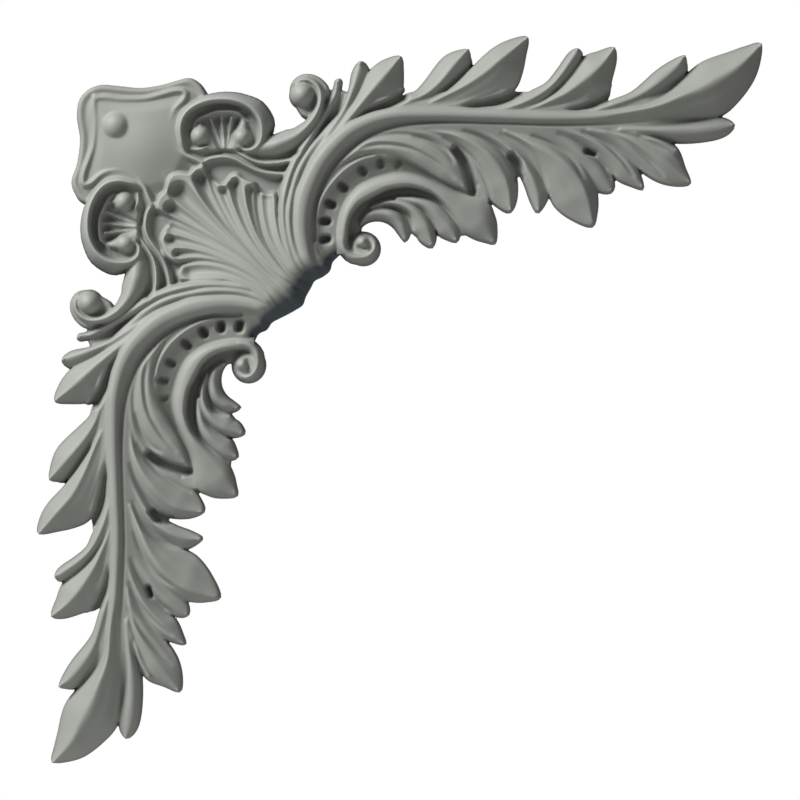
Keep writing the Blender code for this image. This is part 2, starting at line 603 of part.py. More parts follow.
def shell_scroll(relief):
    """The round C scroll with a small shell between the two balls in its hollow."""
    relief.sheet(
        [(186, 118), (198, 108), (215, 103), (236, 104), (253, 113), (262, 128), (258, 148), (238, 155),
         (205, 157), (188, 152), (183, 136)],
        lambda points, depth: np.full(len(points), 0.34),
    )
    relief.rib(
        [(195, 128), (199, 121.5), (209, 117.5), (216, 114.5), (227, 114), (237, 115), (244, 118.5),
        (250, 122)],
        6, 2, (0.42, 0.5, 0.52, 0.5, 0.42), 0.3, 1.2,
    )
    relief.sheet(
        [(198, 126), (209, 119), (226, 116), (241, 119.5), (249, 125), (246, 146), (234, 154), (220, 154),
        (205, 150)],
        lambda points, depth: np.full(len(points), 0.46), 2.0,
    )
    for flute in SMALL_FLUTES:
        relief.groove(flute, (4.6, 3.4, 2), (0.2, 0.24, 0.36), 0.16, 0.01)
    relief.groove([(241, 111), (246, 116), (252, 121)], (1.5, 2.5, 2), (0.34, 0.26, 0.3), 0.15, 0.01)
    relief.rib(
        [(190, 157), (185, 149), (183, 140), (182.5, 129), (186, 118), (195, 109.5), (209, 104),
         (225, 102.5), (240, 105), (252, 112), (259.5, 122), (261.5, 133), (260, 143), (254, 150),
         (246, 151), (240, 147)],
        (4, 6, 7, 7, 8, 10, 11, 12, 15, 15, 10, 6, 4), (3, 4, 4, 4, 4, 4, 4, 4, 3, 3, 3, 3, 3),
        (0.4, 0.56, 0.62, 0.65, 0.68, 0.68, 0.68, 0.66, 0.64, 0.6, 0.56, 0.5),
        (0.26, 0.28, 0.26, 0.2, 0.2, 0.22, 0.3), 1.7, 4,
    )
    relief.dome((201, 137), 10.5, 0.28, 0.62)
    relief.rib([(193, 150), (201, 151), (208, 148)], 3, 3, (0.44, 0.5, 0.5), 0.34)
    relief.groove([(192, 146.5), (200, 147), (207, 146)], 1.6, 0.36, 0.12)
    relief.dome((243, 138.5), 9.5, 0.32, 0.6)
    relief.groove([(251, 131), (256, 135), (256, 141), (252, 146), (246, 148)], 2.6, 0.36, 0.15)


def sunk_panel(relief):
    """The sunk ground beside the shell."""
    relief.sheet(
        [(185, 140), (215, 150), (250, 152), (300, 150), (300, 200), (285, 230), (240, 200), (195, 180)],
        lambda points, depth: np.full(len(points), 0.31),
    )


def panel_ridges(relief):
    """The two ridges that bound the sunk ground, and the grooves beside them."""
    relief.groove(
        [(194, 155), (210, 155.5), (225, 153), (238, 155), (250, 159), (265, 160), (283, 158), (295, 153)],
        (2, 3, 3, 3, 4, 5, 5, 5), (0.36, 0.3, 0.26, 0.3, 0.34, 0.36), 0.2,
    )
    relief.rib(
        [(231, 149), (240, 154.5), (249, 160), (259, 164), (270, 165), (287, 163), (300, 158)],
        (2, 3.5, 3.5), (2, 3, 3), (0.44, 0.52, 0.56, 0.58), 0.38, 1.6,
    )
    relief.rib(
        [(202, 167), (208, 161), (217, 158.5), (227, 158), (238, 161), (249, 167), (259, 171.5), (270, 174),
         (287, 175), (300, 173)],
        (3, 3, 3), (4, 4, 5, 5), (0.46, 0.52, 0.52, 0.52, 0.52), 0.36, 1.5,
    )
    relief.groove(
        [(226, 154), (238, 157.5), (249, 163), (260, 168), (272, 169.5), (284, 169)],
        (1.5, 2, 2.4, 1.5), (0.34, 0.38, 0.38, 0.48), 0.15, 0.012,
    )


# Lines of the shell from rim to base: its lower margin (-3), its middle (0), its upper margin (3)
SHELL_LINES = (
    [(187, 290), (205, 284), (228, 284), (250, 293), (265, 307), (272, 318)],
    [(178, 265), (200, 262), (225, 266), (248, 276), (268, 291), (283, 311)],
    [(156, 214), (180, 224), (208, 238), (238, 256), (264, 277), (292, 304)],
    [(168, 182), (190, 205), (220, 232), (250, 258), (275, 280), (299, 299)],
    [(209, 171), (218, 198), (234, 228), (252, 252), (274, 275), (305, 292)],
    [(258, 188), (259, 211), (265, 237), (276, 257), (291, 275), (311, 284)],
    [(278, 194), (280, 220), (286, 245), (295, 262), (306, 272), (320, 276)],
)
# Flutes of the shell: place across its lines, start along them, half-width at the rim, depth
FLUTES = (
    (-2.4, 0.05, 7.0, 0.09), (-1.8, 0.03, 5.5, 0.16), (-1.5, 0.03, 6.5, 0.18),
    (-1.2, 0.08, 7.0, 0.18), (-0.62, 0.05, 8.5, 0.25), (0.06, 0.05, 11.5, 0.26), (0.76, 0.04, 8.5, 0.28),
    (1.2, 0.09, 6.5, 0.19), (1.52, 0.02, 7.0, 0.23), (1.86, 0.04, 5.0, 0.18), (2.45, 0.06, 6.5, 0.09),
)
LOBE_STEP = 0.13  # how far each lobe lies behind the one before it, at the rim
SHELL_RIM = [(180, 283), (177, 274), (180, 267), (171, 262), (164, 255), (162, 248), (160, 241), (164, 232),
             (170, 224), (160, 219), (156, 214), (156, 205), (159, 197), (165, 191), (167, 181), (173, 174),
             (182, 172), (190, 173), (196, 167), (205, 165.5), (211, 171), (215, 180), (221, 184), (227, 182),
             (231, 176), (238, 173), (244, 178), (251, 181), (257, 184), (261, 191), (269, 194), (278, 194)]
SHELL_FOOT = [(324, 290), (312, 304), (304, 313), (290, 322)]  # beyond the inner corner, which cuts it off
ROLL = (9.0, 15.0, 30.0, 30.0, 15.0, 9.0)  # width over which the inner corner rolls down, along the line
ROLL_LINE = [(352, 236), (347, 246), (341, 254), (333, 262), (330, 271), (323, 277), (315, 281), (311, 288),
             (306, 297), (303, 305), (296, 310), (287, 315), (279, 319), (272, 323), (267, 330), (259, 334),
             (254, 342), (246, 347), (236, 352)]
RIM_LEVEL = 0.48
BASE_LEVEL = 0.9


def shell_line(place):
    """The line of the shell at a place between its margins."""
    low = min(int(np.floor(place)), 2)
    one, two = (through(SHELL_LINES[number + 3], 1.0) for number in (low, low + 1))
    steps = np.linspace(0, 1, 24)
    one, two = (np.column_stack([along(axis, steps) for axis in line.T]) for line in (one, two))
    return one + (two - one) * (place - low)


def shell_level(points):
    """The height of the unfluted shell: it climbs from its rim to its base, and its lobes overlap."""
    rise = (((points - 175).sum(axis=-1)) / 230).clip(0, 1)
    level = RIM_LEVEL + (BASE_LEVEL - RIM_LEVEL) * np.sin(rise * np.pi / 2)
    for place in (-2, -1, 1, 2):
        distance, share, side = nearest(points, shell_line(place))
        beyond = np.clip(0.5 - np.sign(place) * side * distance / 3, 0, 1)
        level = level - LOBE_STEP * (1 - share) * beyond
    return level


def shell(relief):
    """The fluted shell over the corner, rising to the inner corner."""
    ring = [*SHELL_RIM, *SHELL_LINES[6][1:], *SHELL_FOOT, *SHELL_LINES[0][:0:-1]]

    def level(points, depth):
        lip = 0.035 * np.exp(-((depth - 2) / 3) ** 2) * (points.sum(axis=1) < 470)
        return shell_level(points) + lip

    relief.sheet(ring, level, 3.0)
    for place, start, width, depth in FLUTES:
        line = shell_line(place)[int(start * 24) + 1:]
        steps = np.linspace(0, 1, len(line))
        half = width * (1 - steps) ** 0.7 + 2.5 * steps
        cut = depth * (1 - steps) ** 0.7
        relief.groove(line, half, shell_level(line) - cut, 0.95 * depth, 0.012)
    for place, reach in ((-2, 0.13), (-1, 0.2), (1, 0.22), (2, 0.18)):
        line = shell_line(place)
        steps = np.linspace(0, 1, len(line))
        relief.groove(line, 3.6 - 1.4 * steps, shell_level(line) - reach * (1 - 0.7 * steps**2), 0.1, 0.012)


def roll_over(relief):
    """Rounds the inner corner: the flutes turn over and run steeply down to the back."""
    line = through(ROLL_LINE, 2.0)
    at = relief.near(line, max(ROLL))
    if not len(at):
        return
    points = relief.points[at]
    solid = np.vstack([line, [(236, 440), (40, 440), (40, 40), (440, 40), (440, 236)]])
    distance, share, _ = nearest(points, line)
    depth = distance * np.where(inside(points, solid), 1, -1)
    up = np.clip(depth / along(ROLL, share), 0, 1)
    old = relief.height[at]
    relief.height[at] = np.where(depth > 0, old * np.sqrt(up * (2 - up)), np.minimum(old, depth * WALL))


def corner_plate(relief):
    """The plate with a lip and a cove round it, and a boss in its outer corner."""
    steps = np.array([0, 2, 4.5, 7, 9, 11, 15, 60])
    levels = np.array([0.2, 0.27, 0.31, 0.29, 0.27, 0.275, 0.3, 0.3])

    def level(points, depth):
        swell = np.exp(-((np.linalg.norm(points - (148, 148), axis=1) / 42) ** 2))
        ease = np.clip((depth - 11) / 16, 0, 1)
        return np.interp(depth, steps, levels) + 0.22 * swell * ease * ease * (3 - 2 * ease)

    relief.sheet(
        [(208, 94), (201, 84), (190, 78), (176, 81), (160, 85.5), (140, 88), (118, 86), (101, 85), (88, 90),
         (79, 101), (77, 118), (80, 140), (77, 164), (71.5, 181), (75, 194), (85, 205), (120, 215),
         (175, 205), (200, 180), (212, 140)],
        level, 2.5,
    )
    relief.dome((117.5, 127), 13.5, 0.3, 0.56)


def bead(relief):
    """The thin bead that follows the edge of the plate and turns round the C scroll."""
    relief.rib(
        [(98, 99), (108, 98.5), (122, 100.5), (145, 100), (160, 96.5), (174, 92.5), (184, 92), (187, 95),
         (184, 102), (177, 109), (172.5, 118), (171, 129), (172.5, 140), (178, 149), (186, 156), (195, 160),
        (204, 164)],
        4.2, 4.2, (0.34, 0.35, 0.38, 0.42, 0.5), 0.27,
    )


def arm(points):
    """The height of the right arm and its half of the corner."""
    relief = Relief(points)
    sunk_panel(relief)
    ground(relief)
    pearl_band(relief)
    outer_leaves(relief)
    outer_valleys(relief)
    end_leaf(relief)
    inner_leaves(relief)
    stems(relief)
    bead(relief)
    shell_scroll(relief)
    ball_scroll(relief)
    panel_ridges(relief)
    return relief.height


# The carver's lower arm is the right arm turned over the diagonal, and strays from it by these
# amounts: where on the right arm, and how far right and down before it is turned over.
STRAYS = np.array(
    [
        (230, 92, 0, -11), (200, 137, 2, -13), (244, 138, 3, -17), (226, 157, 3, -9),
        (225, 116, 3, -15), (272, 125, -2, -9), (285, 168, 0, -5), (302, 95, 2, -5), (339, 82, -3, -5),
        (361, 62, 0, 5), (402, 56, 0, -4),
        (468, 49, 14, 0), (529, 38, 8, 0), (578, 49, -5, 10), (616, 48, 5, 2), (683, 56, 2, 4),
        (761, 44, 1, 10), (735, 125, 5, 1), (690, 185, 2, -4), (644, 190, -1, -5), (613, 193, 5, -3),
        (590, 228, 7, -8), (538, 214, -2, -14), (510, 213, 5, -9), (467, 193, -3, -1), (496, 243, 0, -6),
        (431, 248, 1, -6), (406, 240, 4, 1), (363, 245, 3, 0), (450, 120, 0, -1), (600, 122, 0, -3),
        (301, 200, 3, 0), (310, 265, 0, 0), (330, 265, 0, 0), (350, 140, 0, 0), (690, 100, 2, 3),
        (104, 99, 0, -2), (130, 100, 0, -5), (158, 95, 0, -5), (185, 92, -4, -8),
    ],
    float,
)
STRAY_REACH = 38.0  # how far each of them carries, in drawing units
STRAY_REST = 0.15  # weight of the undisturbed drawing


def stray(points):
    """How far the lower arm strays at the points, as a weighted mean of the strays near them."""
    gap = points[:, None, :] - STRAYS[:, :2]
    weight = np.exp(-(gap**2).sum(-1) / STRAY_REACH**2)
    return (weight @ STRAYS[:, 2:]) / (weight.sum(-1, keepdims=True) + STRAY_REST)


def heights(points):
    """The height of the whole ornament: both arms, the shell, the plate and the inner leaf."""
    flipped = points[:, ::-1]
    source = flipped - stray(flipped - stray(flipped))
    whole = Relief(points)
    corner_plate(whole)
    every = np.arange(len(points))
    for place in (points, source):
        whole.raise_to(every, arm(place))
    shell(whole)
    roll_over(whole)
    for place in (points, source):
        leaf = Relief(place)
        inner_acanthus(leaf)
        whole.raise_to(every, leaf.height)
    return whole.height


def tiled(pitch):
    """The plan positions of an even field that covers the ornament, and the height there."""
    axis = np.arange(0, FIELD_UNITS, pitch / UNIT)
    plan = np.stack(np.meshgrid(CORNER[0] + axis, CORNER[1] + axis), axis=-1)
    height = np.full(plan.shape[:2], LOW)
    parts = [slice(part[0], part[-1] + 1) for part in np.array_split(np.arange(len(axis)), TILES)]
    for rows in parts:
        for columns in parts:
            tile = plan[rows, columns]
            height[rows, columns] = heights(tile.reshape(-1, 2)).reshape(tile.shape[:2])
    return plan, np.maximum(height, LOW)


def block():
    """Points and faces of a closed block: the ornament over an even field, with a sunk back."""
    plan, height = tiled(PITCH)
    used = np.max([height[:-1, :-1], height[1:, :-1], height[1:, 1:], height[:-1, 1:]], axis=0) > LOW + 1e-6
    number = np.arange(height.size).reshape(height.shape)
    quads = np.stack([number[:-1, :-1], number[1:, :-1], number[1:, 1:], number[:-1, 1:]], axis=-1)[used]
    names, inverse = np.unique(quads, return_inverse=True)
    quads = inverse.reshape(quads.shape)
    total = len(names)
    place = (plan.reshape(-1, 2)[names] - ORIGIN) * UNIT
    front = np.column_stack([place[:, 0], -height.ravel()[names] * PROJECTION, -place[:, 1]])
    back = front.copy()
    back[:, 1] = 2 * SINK
    edges = np.concatenate([quads[:, [k, (k + 1) % 4]] for k in range(4)])
    ahead = edges[:, 0] * total + edges[:, 1]
    behind = edges[:, 1] * total + edges[:, 0]
    rim = edges[~np.isin(ahead, behind)]
    wall = np.column_stack([rim[:, 1], rim[:, 0], rim[:, 0] + total, rim[:, 1] + total])
    return np.vstack([front, back]), np.vstack([quads, quads[:, ::-1] + total, wall])


def behind_the_back(collection):
    """The box behind the back plane, which cuts the back flat."""
    mesh = bpy.data.meshes.new("behind_the_back")
    work = bmesh.new()
    size = Vector((3 * LEG, 4 * SINK, 3 * LEG))
    place = Matrix.Translation(Vector((0, size.y / 2, 0)))
    bmesh.ops.create_cube(work, size=1.0, matrix=place @ Matrix.Diagonal(size.to_4d()))
    work.to_mesh(mesh)
    work.free()
    cutter = bpy.data.objects.new("behind_the_back", mesh)
    cutter.hide_render = True
    cutter.display_type = "WIRE"
    collection.objects.link(cutter)
    return cutter


def primer():
    """Matte grey-green primer."""
    material = bpy.data.materials.new("primer")
    material.use_nodes = True
    shader = material.node_tree.nodes["Principled BSDF"]
    shader.inputs["Base Color"].default_value = (0.35, 0.36, 0.33, 1)
    shader.inputs["Roughness"].default_value = 0.6
    shader.inputs["Metallic"].default_value = 0.0
    return material


def moulding_corner(collection, cutter):
    """The casting: the block, thinned to FACETS triangles and cut flat at the back."""
    points, faces = block()
    mesh = bpy.data.meshes.new("moulding_corner")
    mesh.from_pydata(points.tolist(), [], faces.tolist())
    mesh.materials.append(primer())
    corner = bpy.data.objects.new("moulding_corner", mesh)
    collection.objects.link(corner)
    thin = corner.modifiers.new("thin", "DECIMATE")
    thin.ratio = FACETS / (2 * len(faces))
    flat = corner.modifiers.new("flat_back", "BOOLEAN")
    flat.operation = "DIFFERENCE"
    flat.solver = "EXACT"
    flat.object = cutter


def main():
    for old in list(bpy.data.objects):
        bpy.data.objects.remove(old)
    ornament = bpy.data.collections.new("panel_moulding_corner")
    cutters = bpy.data.collections.new("cutters")
    for collection in (ornament, cutters):
        bpy.context.scene.collection.children.link(collection)
    moulding_corner(ornament, behind_the_back(cutters))


main()
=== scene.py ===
"""Panel moulding corner, dressed: one primed casting, lit as for a catalogue.

The casting is a height above its back plane, worked out over the plan from carved strokes.
Plan positions are drawing units, of which LEG_UNITS make one leg; on the drawing Y runs down.
Heights are shares of PROJECTION.
"""

import functools
import math

import bpy
import numpy as np
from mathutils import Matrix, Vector

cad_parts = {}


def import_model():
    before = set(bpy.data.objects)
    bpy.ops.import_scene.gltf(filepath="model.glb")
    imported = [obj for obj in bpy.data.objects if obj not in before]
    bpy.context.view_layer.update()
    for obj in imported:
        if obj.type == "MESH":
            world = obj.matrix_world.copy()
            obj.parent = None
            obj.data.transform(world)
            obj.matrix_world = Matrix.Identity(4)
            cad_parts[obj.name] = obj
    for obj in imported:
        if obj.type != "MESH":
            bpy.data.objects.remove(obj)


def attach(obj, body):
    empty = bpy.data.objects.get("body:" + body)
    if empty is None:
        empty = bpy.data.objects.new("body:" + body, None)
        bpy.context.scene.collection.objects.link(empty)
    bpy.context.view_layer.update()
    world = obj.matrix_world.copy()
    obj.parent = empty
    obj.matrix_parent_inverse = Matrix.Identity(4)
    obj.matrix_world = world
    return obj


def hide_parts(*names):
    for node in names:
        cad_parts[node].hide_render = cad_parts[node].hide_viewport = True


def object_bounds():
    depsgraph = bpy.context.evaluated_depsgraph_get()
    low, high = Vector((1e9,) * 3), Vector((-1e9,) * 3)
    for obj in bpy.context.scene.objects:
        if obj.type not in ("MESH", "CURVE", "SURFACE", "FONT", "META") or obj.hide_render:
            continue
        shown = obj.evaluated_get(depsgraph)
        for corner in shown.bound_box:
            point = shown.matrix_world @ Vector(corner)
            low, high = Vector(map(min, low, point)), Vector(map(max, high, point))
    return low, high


# Driving sizes, in metres, as in the solid
LEG = 0.362  # from the outer edge to the tip of an arm, the same across and down
PROJECTION = 0.026  # from the back plane to the level of the highest ridge
PITCH = 0.0004  # spacing of the points at which the height is worked out
SINK = 0.014  # how far the worked heights fall behind the back plane outside the outline
TRIANGLES = 190000  # kept in the finished casting
THIN = 0.02  # the least height left where a gap closes, a share of PROJECTION
SOFTEN = 1.4  # how far the carving is softened, in steps of the pitch
BROAD = 6.0  # how far the broad form is averaged that the hollows are told by, in steps of the pitch

# The drawing
LEG_UNITS = 724.0
UNIT = LEG / LEG_UNITS
ORIGIN = np.array([230.0, 230.0])  # on the mitre line, behind the middle of the shell
CORNER = np.array([34.0, 34.0])  # where the worked field starts, just outside the ornament
FIELD_UNITS = 734.0  # how far it reaches
TILES = 8  # the field is worked out in so many tiles each way
LOW = -SINK / PROJECTION
FILLET = 0.02  # height over which two strokes run into each other
WALL = 0.2  # fall of an outer edge behind the back plane, height per drawing unit
EASE = 0.14  # how far the ridge of a leaf is rounded, a share of its half-width
BANK = 9.0  # how steeply a groove's side climbs beyond its edge, height per half-width
SPAN_POINTS = 12  # points worked out in each span of a smooth curve
LEAST_POINTS = 8  # points kept on the shortest curve


def through(points, gap=4.0):
    """A smooth curve through the points: Catmull-Rom spans, read at even steps of its length."""
    return curve(tuple(map(tuple, points)), gap)


@functools.cache
def curve(points, gap):
    """The curve itself, worked out once for each set of points."""
    p = np.array(points, float)
    p = np.vstack([2 * p[0] - p[1], p, 2 * p[-1] - p[-2]])
    t = np.linspace(0, 1, SPAN_POINTS, endpoint=False)[:, None]
    spans = [
        0.5 * (2 * b + (c - a) * t + (2 * a - 5 * b + 4 * c - d) * t**2 + (3 * b - a - 3 * c + d) * t**3)
        for a, b, c, d in zip(p, p[1:], p[2:], p[3:])
    ]
    line = np.vstack([*spans, p[-2:-1]])
    length = np.r_[0, np.cumsum(np.linalg.norm(np.diff(line, axis=0), axis=1))]
    at = np.linspace(0, length[-1], max(LEAST_POINTS, int(length[-1] / gap)))
    return np.column_stack([np.interp(at, length, column) for column in line.T])


def along(values, share):
    """Values at even steps along a stroke, read at the shares 0 to 1: a list is eased, an array is not."""
    if isinstance(values, np.ndarray):
        return np.interp(share, np.linspace(0, 1, len(values)), values)
    values = np.atleast_1d(np.asarray(values, float))
    if len(values) == 1:
        return np.full(np.shape(share), values[0])
    at = np.clip(share, 0, 1) * (len(values) - 1)
    low = np.clip(np.floor(at).astype(int), 0, len(values) - 2)
    ease = at - low
    ease = 0.5 * ease + 0.5 * ease * ease * (3 - 2 * ease)
    return values[low] * (1 - ease) + values[low + 1] * ease


def nearest(points, line):
    """Of each point: its distance to the line, the share of the line there, and its signed side.

    The nearest corner of the line is found first, and then the nearer of the two legs at it."""
    leg = np.diff(line, axis=0)
    size = np.linalg.norm(leg, axis=1)
    corner = ((line**2).sum(axis=1) - 2 * points @ line.T).argmin(axis=1)
    pair = np.clip([corner - 1, corner], 0, len(leg) - 1)
    gap = points - line[pair]
    reach = np.clip((gap * leg[pair]).sum(-1) / size[pair]**2, 0, 1)
    off = gap - reach[..., None] * leg[pair]
    distance = np.hypot(off[..., 0], off[..., 1])
    choice = distance.argmin(axis=0), np.arange(len(points))
    before = np.r_[0, np.cumsum(size)]
    share = (before[pair[choice]] + reach[choice] * size[pair[choice]]) / before[-1]
    cross = leg[pair[choice]][:, 0] * off[choice][:, 1] - leg[pair[choice]][:, 1] * off[choice][:, 0]
    return distance[choice], share, np.sign(cross)


def inside(points, ring):
    """Even-odd test of the points against a closed ring."""
    after = np.roll(ring, -1, axis=0)
    x, y = points[:, :1], points[:, 1:]
    spans = (ring[:, 1] > y) != (after[:, 1] > y)
    rise = np.where(after[:, 1] == ring[:, 1], 1.0, after[:, 1] - ring[:, 1])
    crossing = ring[:, 0] + (y - ring[:, 1]) / rise * (after[:, 0] - ring[:, 0])
    return (spans & (x < crossing)).sum(axis=1) % 2 == 1


def rounded(depth, level, radius):
    """The edge of a piece: a quarter round from the back plane up to the level, and a wall behind it.

    Inside the outline the height is level * sqrt(u(2 - u)), with u = depth / radius up to 1. Outside
    it the height falls by WALL a unit."""
    up = np.clip(depth / radius, 0, 1)
    return np.where(depth > 0, level * np.sqrt(up * (2 - up)), depth * WALL)


class Relief:
    """The height over a set of plan points, raised and carved by one stroke after the other."""

    def __init__(self, points):
        self.points = points
        self.low, self.high = points.min(axis=0), points.max(axis=0)
        self.height = np.full(len(points), LOW)

    def near(self, line, reach):
        """The numbers of the points that lie in the box round the line."""
        low, high = line.min(axis=0) - reach, line.max(axis=0) + reach
        if (self.low > high).any() or (self.high < low).any():
            return np.zeros(0, int)
        return np.nonzero(((self.points > low) & (self.points < high)).all(axis=1))[0]

    def join(self, at, level, way=1, fillet=FILLET):
        """Joins a stroke on (way 1) or cuts it out (way -1), with a fillet where the two meet.

        The height is the higher or the lower of the two, plus or less b^2 / 4f, with f the fillet and
        b = f - |difference| where that is over 0 and both stand before the back plane."""
        old = self.height[at]
        blend = np.clip(fillet - np.abs(old - level), 0, None)
        blend = np.where(np.minimum(old, level) > 0, blend, 0)
        self.height[at] = way * (np.maximum(way * old, way * level) + blend**2 / (4 * fillet))

    def lay(self, at, depth, level, edge):
        """Joins on a piece that lies so deep inside its outline, rounded over the edge."""
        level = np.where(depth < edge, np.minimum(level, rounded(depth, level, edge)), level)
        self.join(at, np.maximum(level, LOW))

    def rib(self, path, left, right, crest, rim, power=2.0, edge=2.0):
        """A rib beside a path. Its section is rim + (crest - rim)(1 - |v|^power), v from edge to edge."""
        line = through(path)
        at = self.near(line, max(np.max(left), np.max(right)) - LOW / WALL)
        if not len(at):
            return
        distance, share, side = nearest(self.points[at], line)
        width = np.where(side < 0, along(left, share), along(right, share))
        v = np.clip(distance / width, 0, 1)
        low = along(rim, share)
        level = low + (along(crest, share) - low) * (1 - v**power)
        self.lay(at, width - distance, level, edge)

    def leaf(self, ridge, first, second, crest, rim, power=(1.3, 1.3), edge=2.5, folds=0.0):
        """A leaf between two edges that meet at its tip, with a ridge from base to tip.

        v runs from 0 on the ridge to 1 on the edge, and the section is as that of a rib, with its own
        power on each side. folds adds shallow flutes beside the ridge."""
        spine, ring = through(ridge), through([*first, *second[-2::-1]])
        at = self.near(ring, -LOW / WALL)
        if not len(at):
            return
        points = self.points[at]
        out = nearest(points, ring)[0]
        depth = np.where(inside(points, ring), out, -out)
        distance, share, side = nearest(points, spine)
        v = distance / (distance + np.clip(depth, 0, None) + 1e-6)
        v = (np.hypot(v, EASE) - EASE) / (np.hypot(1, EASE) - EASE)
        low = along(rim, share)
        high = along(crest, share)
        bend = np.where(side < 0, power[0], power[1])
        level = low + (high - low) * (1 - v**bend)
        level = level + folds * (np.cos(v * 4 * np.pi) - 1) * np.sin(np.pi * np.clip(share, 0, 1))
        self.lay(at, depth, level, edge)

    def groove(self, path, half, floor, lift=0.35, fillet=FILLET):
        """A hollow cut beside a path: floor + lift * v^2, v from 0 on the path to 1 at its edge, and a
        bank beyond."""
        line = through(path)
        at = self.near(line, np.max(half) + 2)
        if not len(at):
            return
        distance, share, _ = nearest(self.points[at], line)
        v = distance / along(half, share)
        bank = np.where(v > 1, BANK * (v - 1), 0)
        self.join(at, along(floor, share) + lift * v**2 + bank, -1, fillet)

    def score(self, path, half, depth):
        """A fine line cut beside a path: depth(1 - v^2) off what is there, fading out at both ends."""
        line = through(path)
        at = self.near(line, np.max(half))
        if not len(at):
            return
        distance, share, _ = nearest(self.points[at], line)
        v = np.clip(distance / half, 0, 1)
        cut = depth * (1 - v**2) ** 2 * np.sin(np.pi * share) ** 0.5
        self.height[at] -= np.where(self.height[at] > 2 * depth, cut, 0)

    def dome(self, centre, radius, base, top):
        """A boss: base + (top - base) * sqrt(1 - (distance / radius)^2), and a wall round it."""
        centre = np.asarray(centre, float)
        at = self.near(centre[None], radius - LOW / WALL)
        distance = np.linalg.norm(self.points[at] - centre, axis=1)
        rise = np.sqrt(np.clip(1 - (distance / radius) ** 2, 0, 1))
        level = np.where(distance < radius, base + (top - base) * rise, base - WALL * (distance - radius))
        self.join(at, np.maximum(level, LOW))

    def sheet(self, ring, level, edge=2.5):
        """A ground inside a closed ring. Its level is one height, or a function of points and depth.

        The height is the level, rounded down to the back plane over the edge."""
        loop = through(list(ring) + [ring[0]])
        at = self.near(loop, -LOW / WALL)
        if not len(at):
            return
        points = self.points[at]
        out = nearest(points, loop)[0]
        depth = np.where(inside(points, loop[:-1]), out, -out)
        self.lay(at, depth, level(points, depth) if callable(level) else np.full(len(points), level), edge)


# The stem, from the inner corner out along the arm
STEM = [(316, 276), (307, 260), (302, 240), (301, 220), (303.5, 200), (309, 185), (317, 169), (326, 156),
         (337, 144), (350, 133), (365, 125), (380, 120), (400, 116.5), (430, 116), (460, 116.5), (500, 118),
         (550, 119.5), (600, 118), (640, 111)]


def ground(relief):
    """The swept ground that carries the leaves: high beside the stem and low at its outer edge."""
    line = through(STEM)

    def level(points, depth):
        distance, share, _ = nearest(points, line)
        return along((0.66, 0.56, 0.52, 0.48, 0.42), share) - np.clip(distance - 9, 0, None) * 0.0062

    relief.sheet(
        [(324, 286), (306, 284), (297, 262), (294, 240), (292, 215), (297, 180), (315, 140), (345, 110),
         (372, 100), (404, 95), (440, 92), (480, 88), (522, 92), (560, 92), (609, 101), (640, 92), (662, 78),
         (685, 74), (712, 76), (728, 95), (705, 122), (676, 141), (640, 165), (614, 178), (596, 186),
         (560, 188), (540, 184), (521, 176), (505, 190), (484, 194), (466, 186), (440, 176), (420, 190),
         (395, 205), (360, 205), (347, 225), (345, 248), (340, 268)],
        level,
    )
    relief.sheet(
        [(350, 205), (362, 190), (380, 172), (410, 164), (440, 172), (465, 184), (482, 186), (490, 202),
         (478, 212), (455, 212), (435, 205), (410, 198), (385, 200), (365, 205)],
        0.2,
    )


def stems(relief):
    """The stem that sweeps out of the corner and down the arm, and the ridges beside it."""
    relief.rib(
        [(309, 280), (294, 262), (287, 240), (284, 215), (287, 190), (296, 164), (311, 139), (326, 113),
         (335, 96), (338, 83)],
        (6, 6, 7, 7, 6, 4), (5, 5, 6, 6, 6, 5), (0.86, 0.8, 0.72, 0.62, 0.5, 0.3),
        (0.6, 0.6, 0.5, 0.42, 0.3, 0.14), 1.6, 3,
    )
    relief.rib(
        [(312, 280), (300, 262), (292, 240), (290, 215), (294, 190), (303, 166), (318, 144), (336, 126)],
        5, 5, (0.88, 0.82, 0.76, 0.66, 0.58, 0.5), (0.7, 0.66, 0.6, 0.52, 0.46, 0.4), 1.8,
    )
    relief.groove(
        [(315, 240), (314, 215), (318, 196), (326, 178), (338, 162), (354, 147), (372, 135.5), (391, 128.5),
         (413, 124.5), (445, 122.5), (480, 123), (520, 124.5), (560, 126), (600, 125.5), (650, 123),
         (700, 119.5), (716, 117.5)],
        (4, 4, 4, 3.2, 2.8, 2.8, 2.8, 2.6), (0.5, 0.46, 0.44, 0.42, 0.41, 0.4, 0.36, 0.3), 0.1,
    )
    relief.rib(
        STEM, (9, 10, 10, 9, 8, 8, 7, 5), (8, 11, 13, 11, 9, 7.5, 7, 7, 6.5, 6.5, 6, 5),
        (0.86, 0.78, 0.71, 0.67, 0.64, 0.61, 0.58, 0.54, 0.5),
        (0.6, 0.56, 0.52, 0.48, 0.45, 0.42, 0.38, 0.34), 2.6,
    )


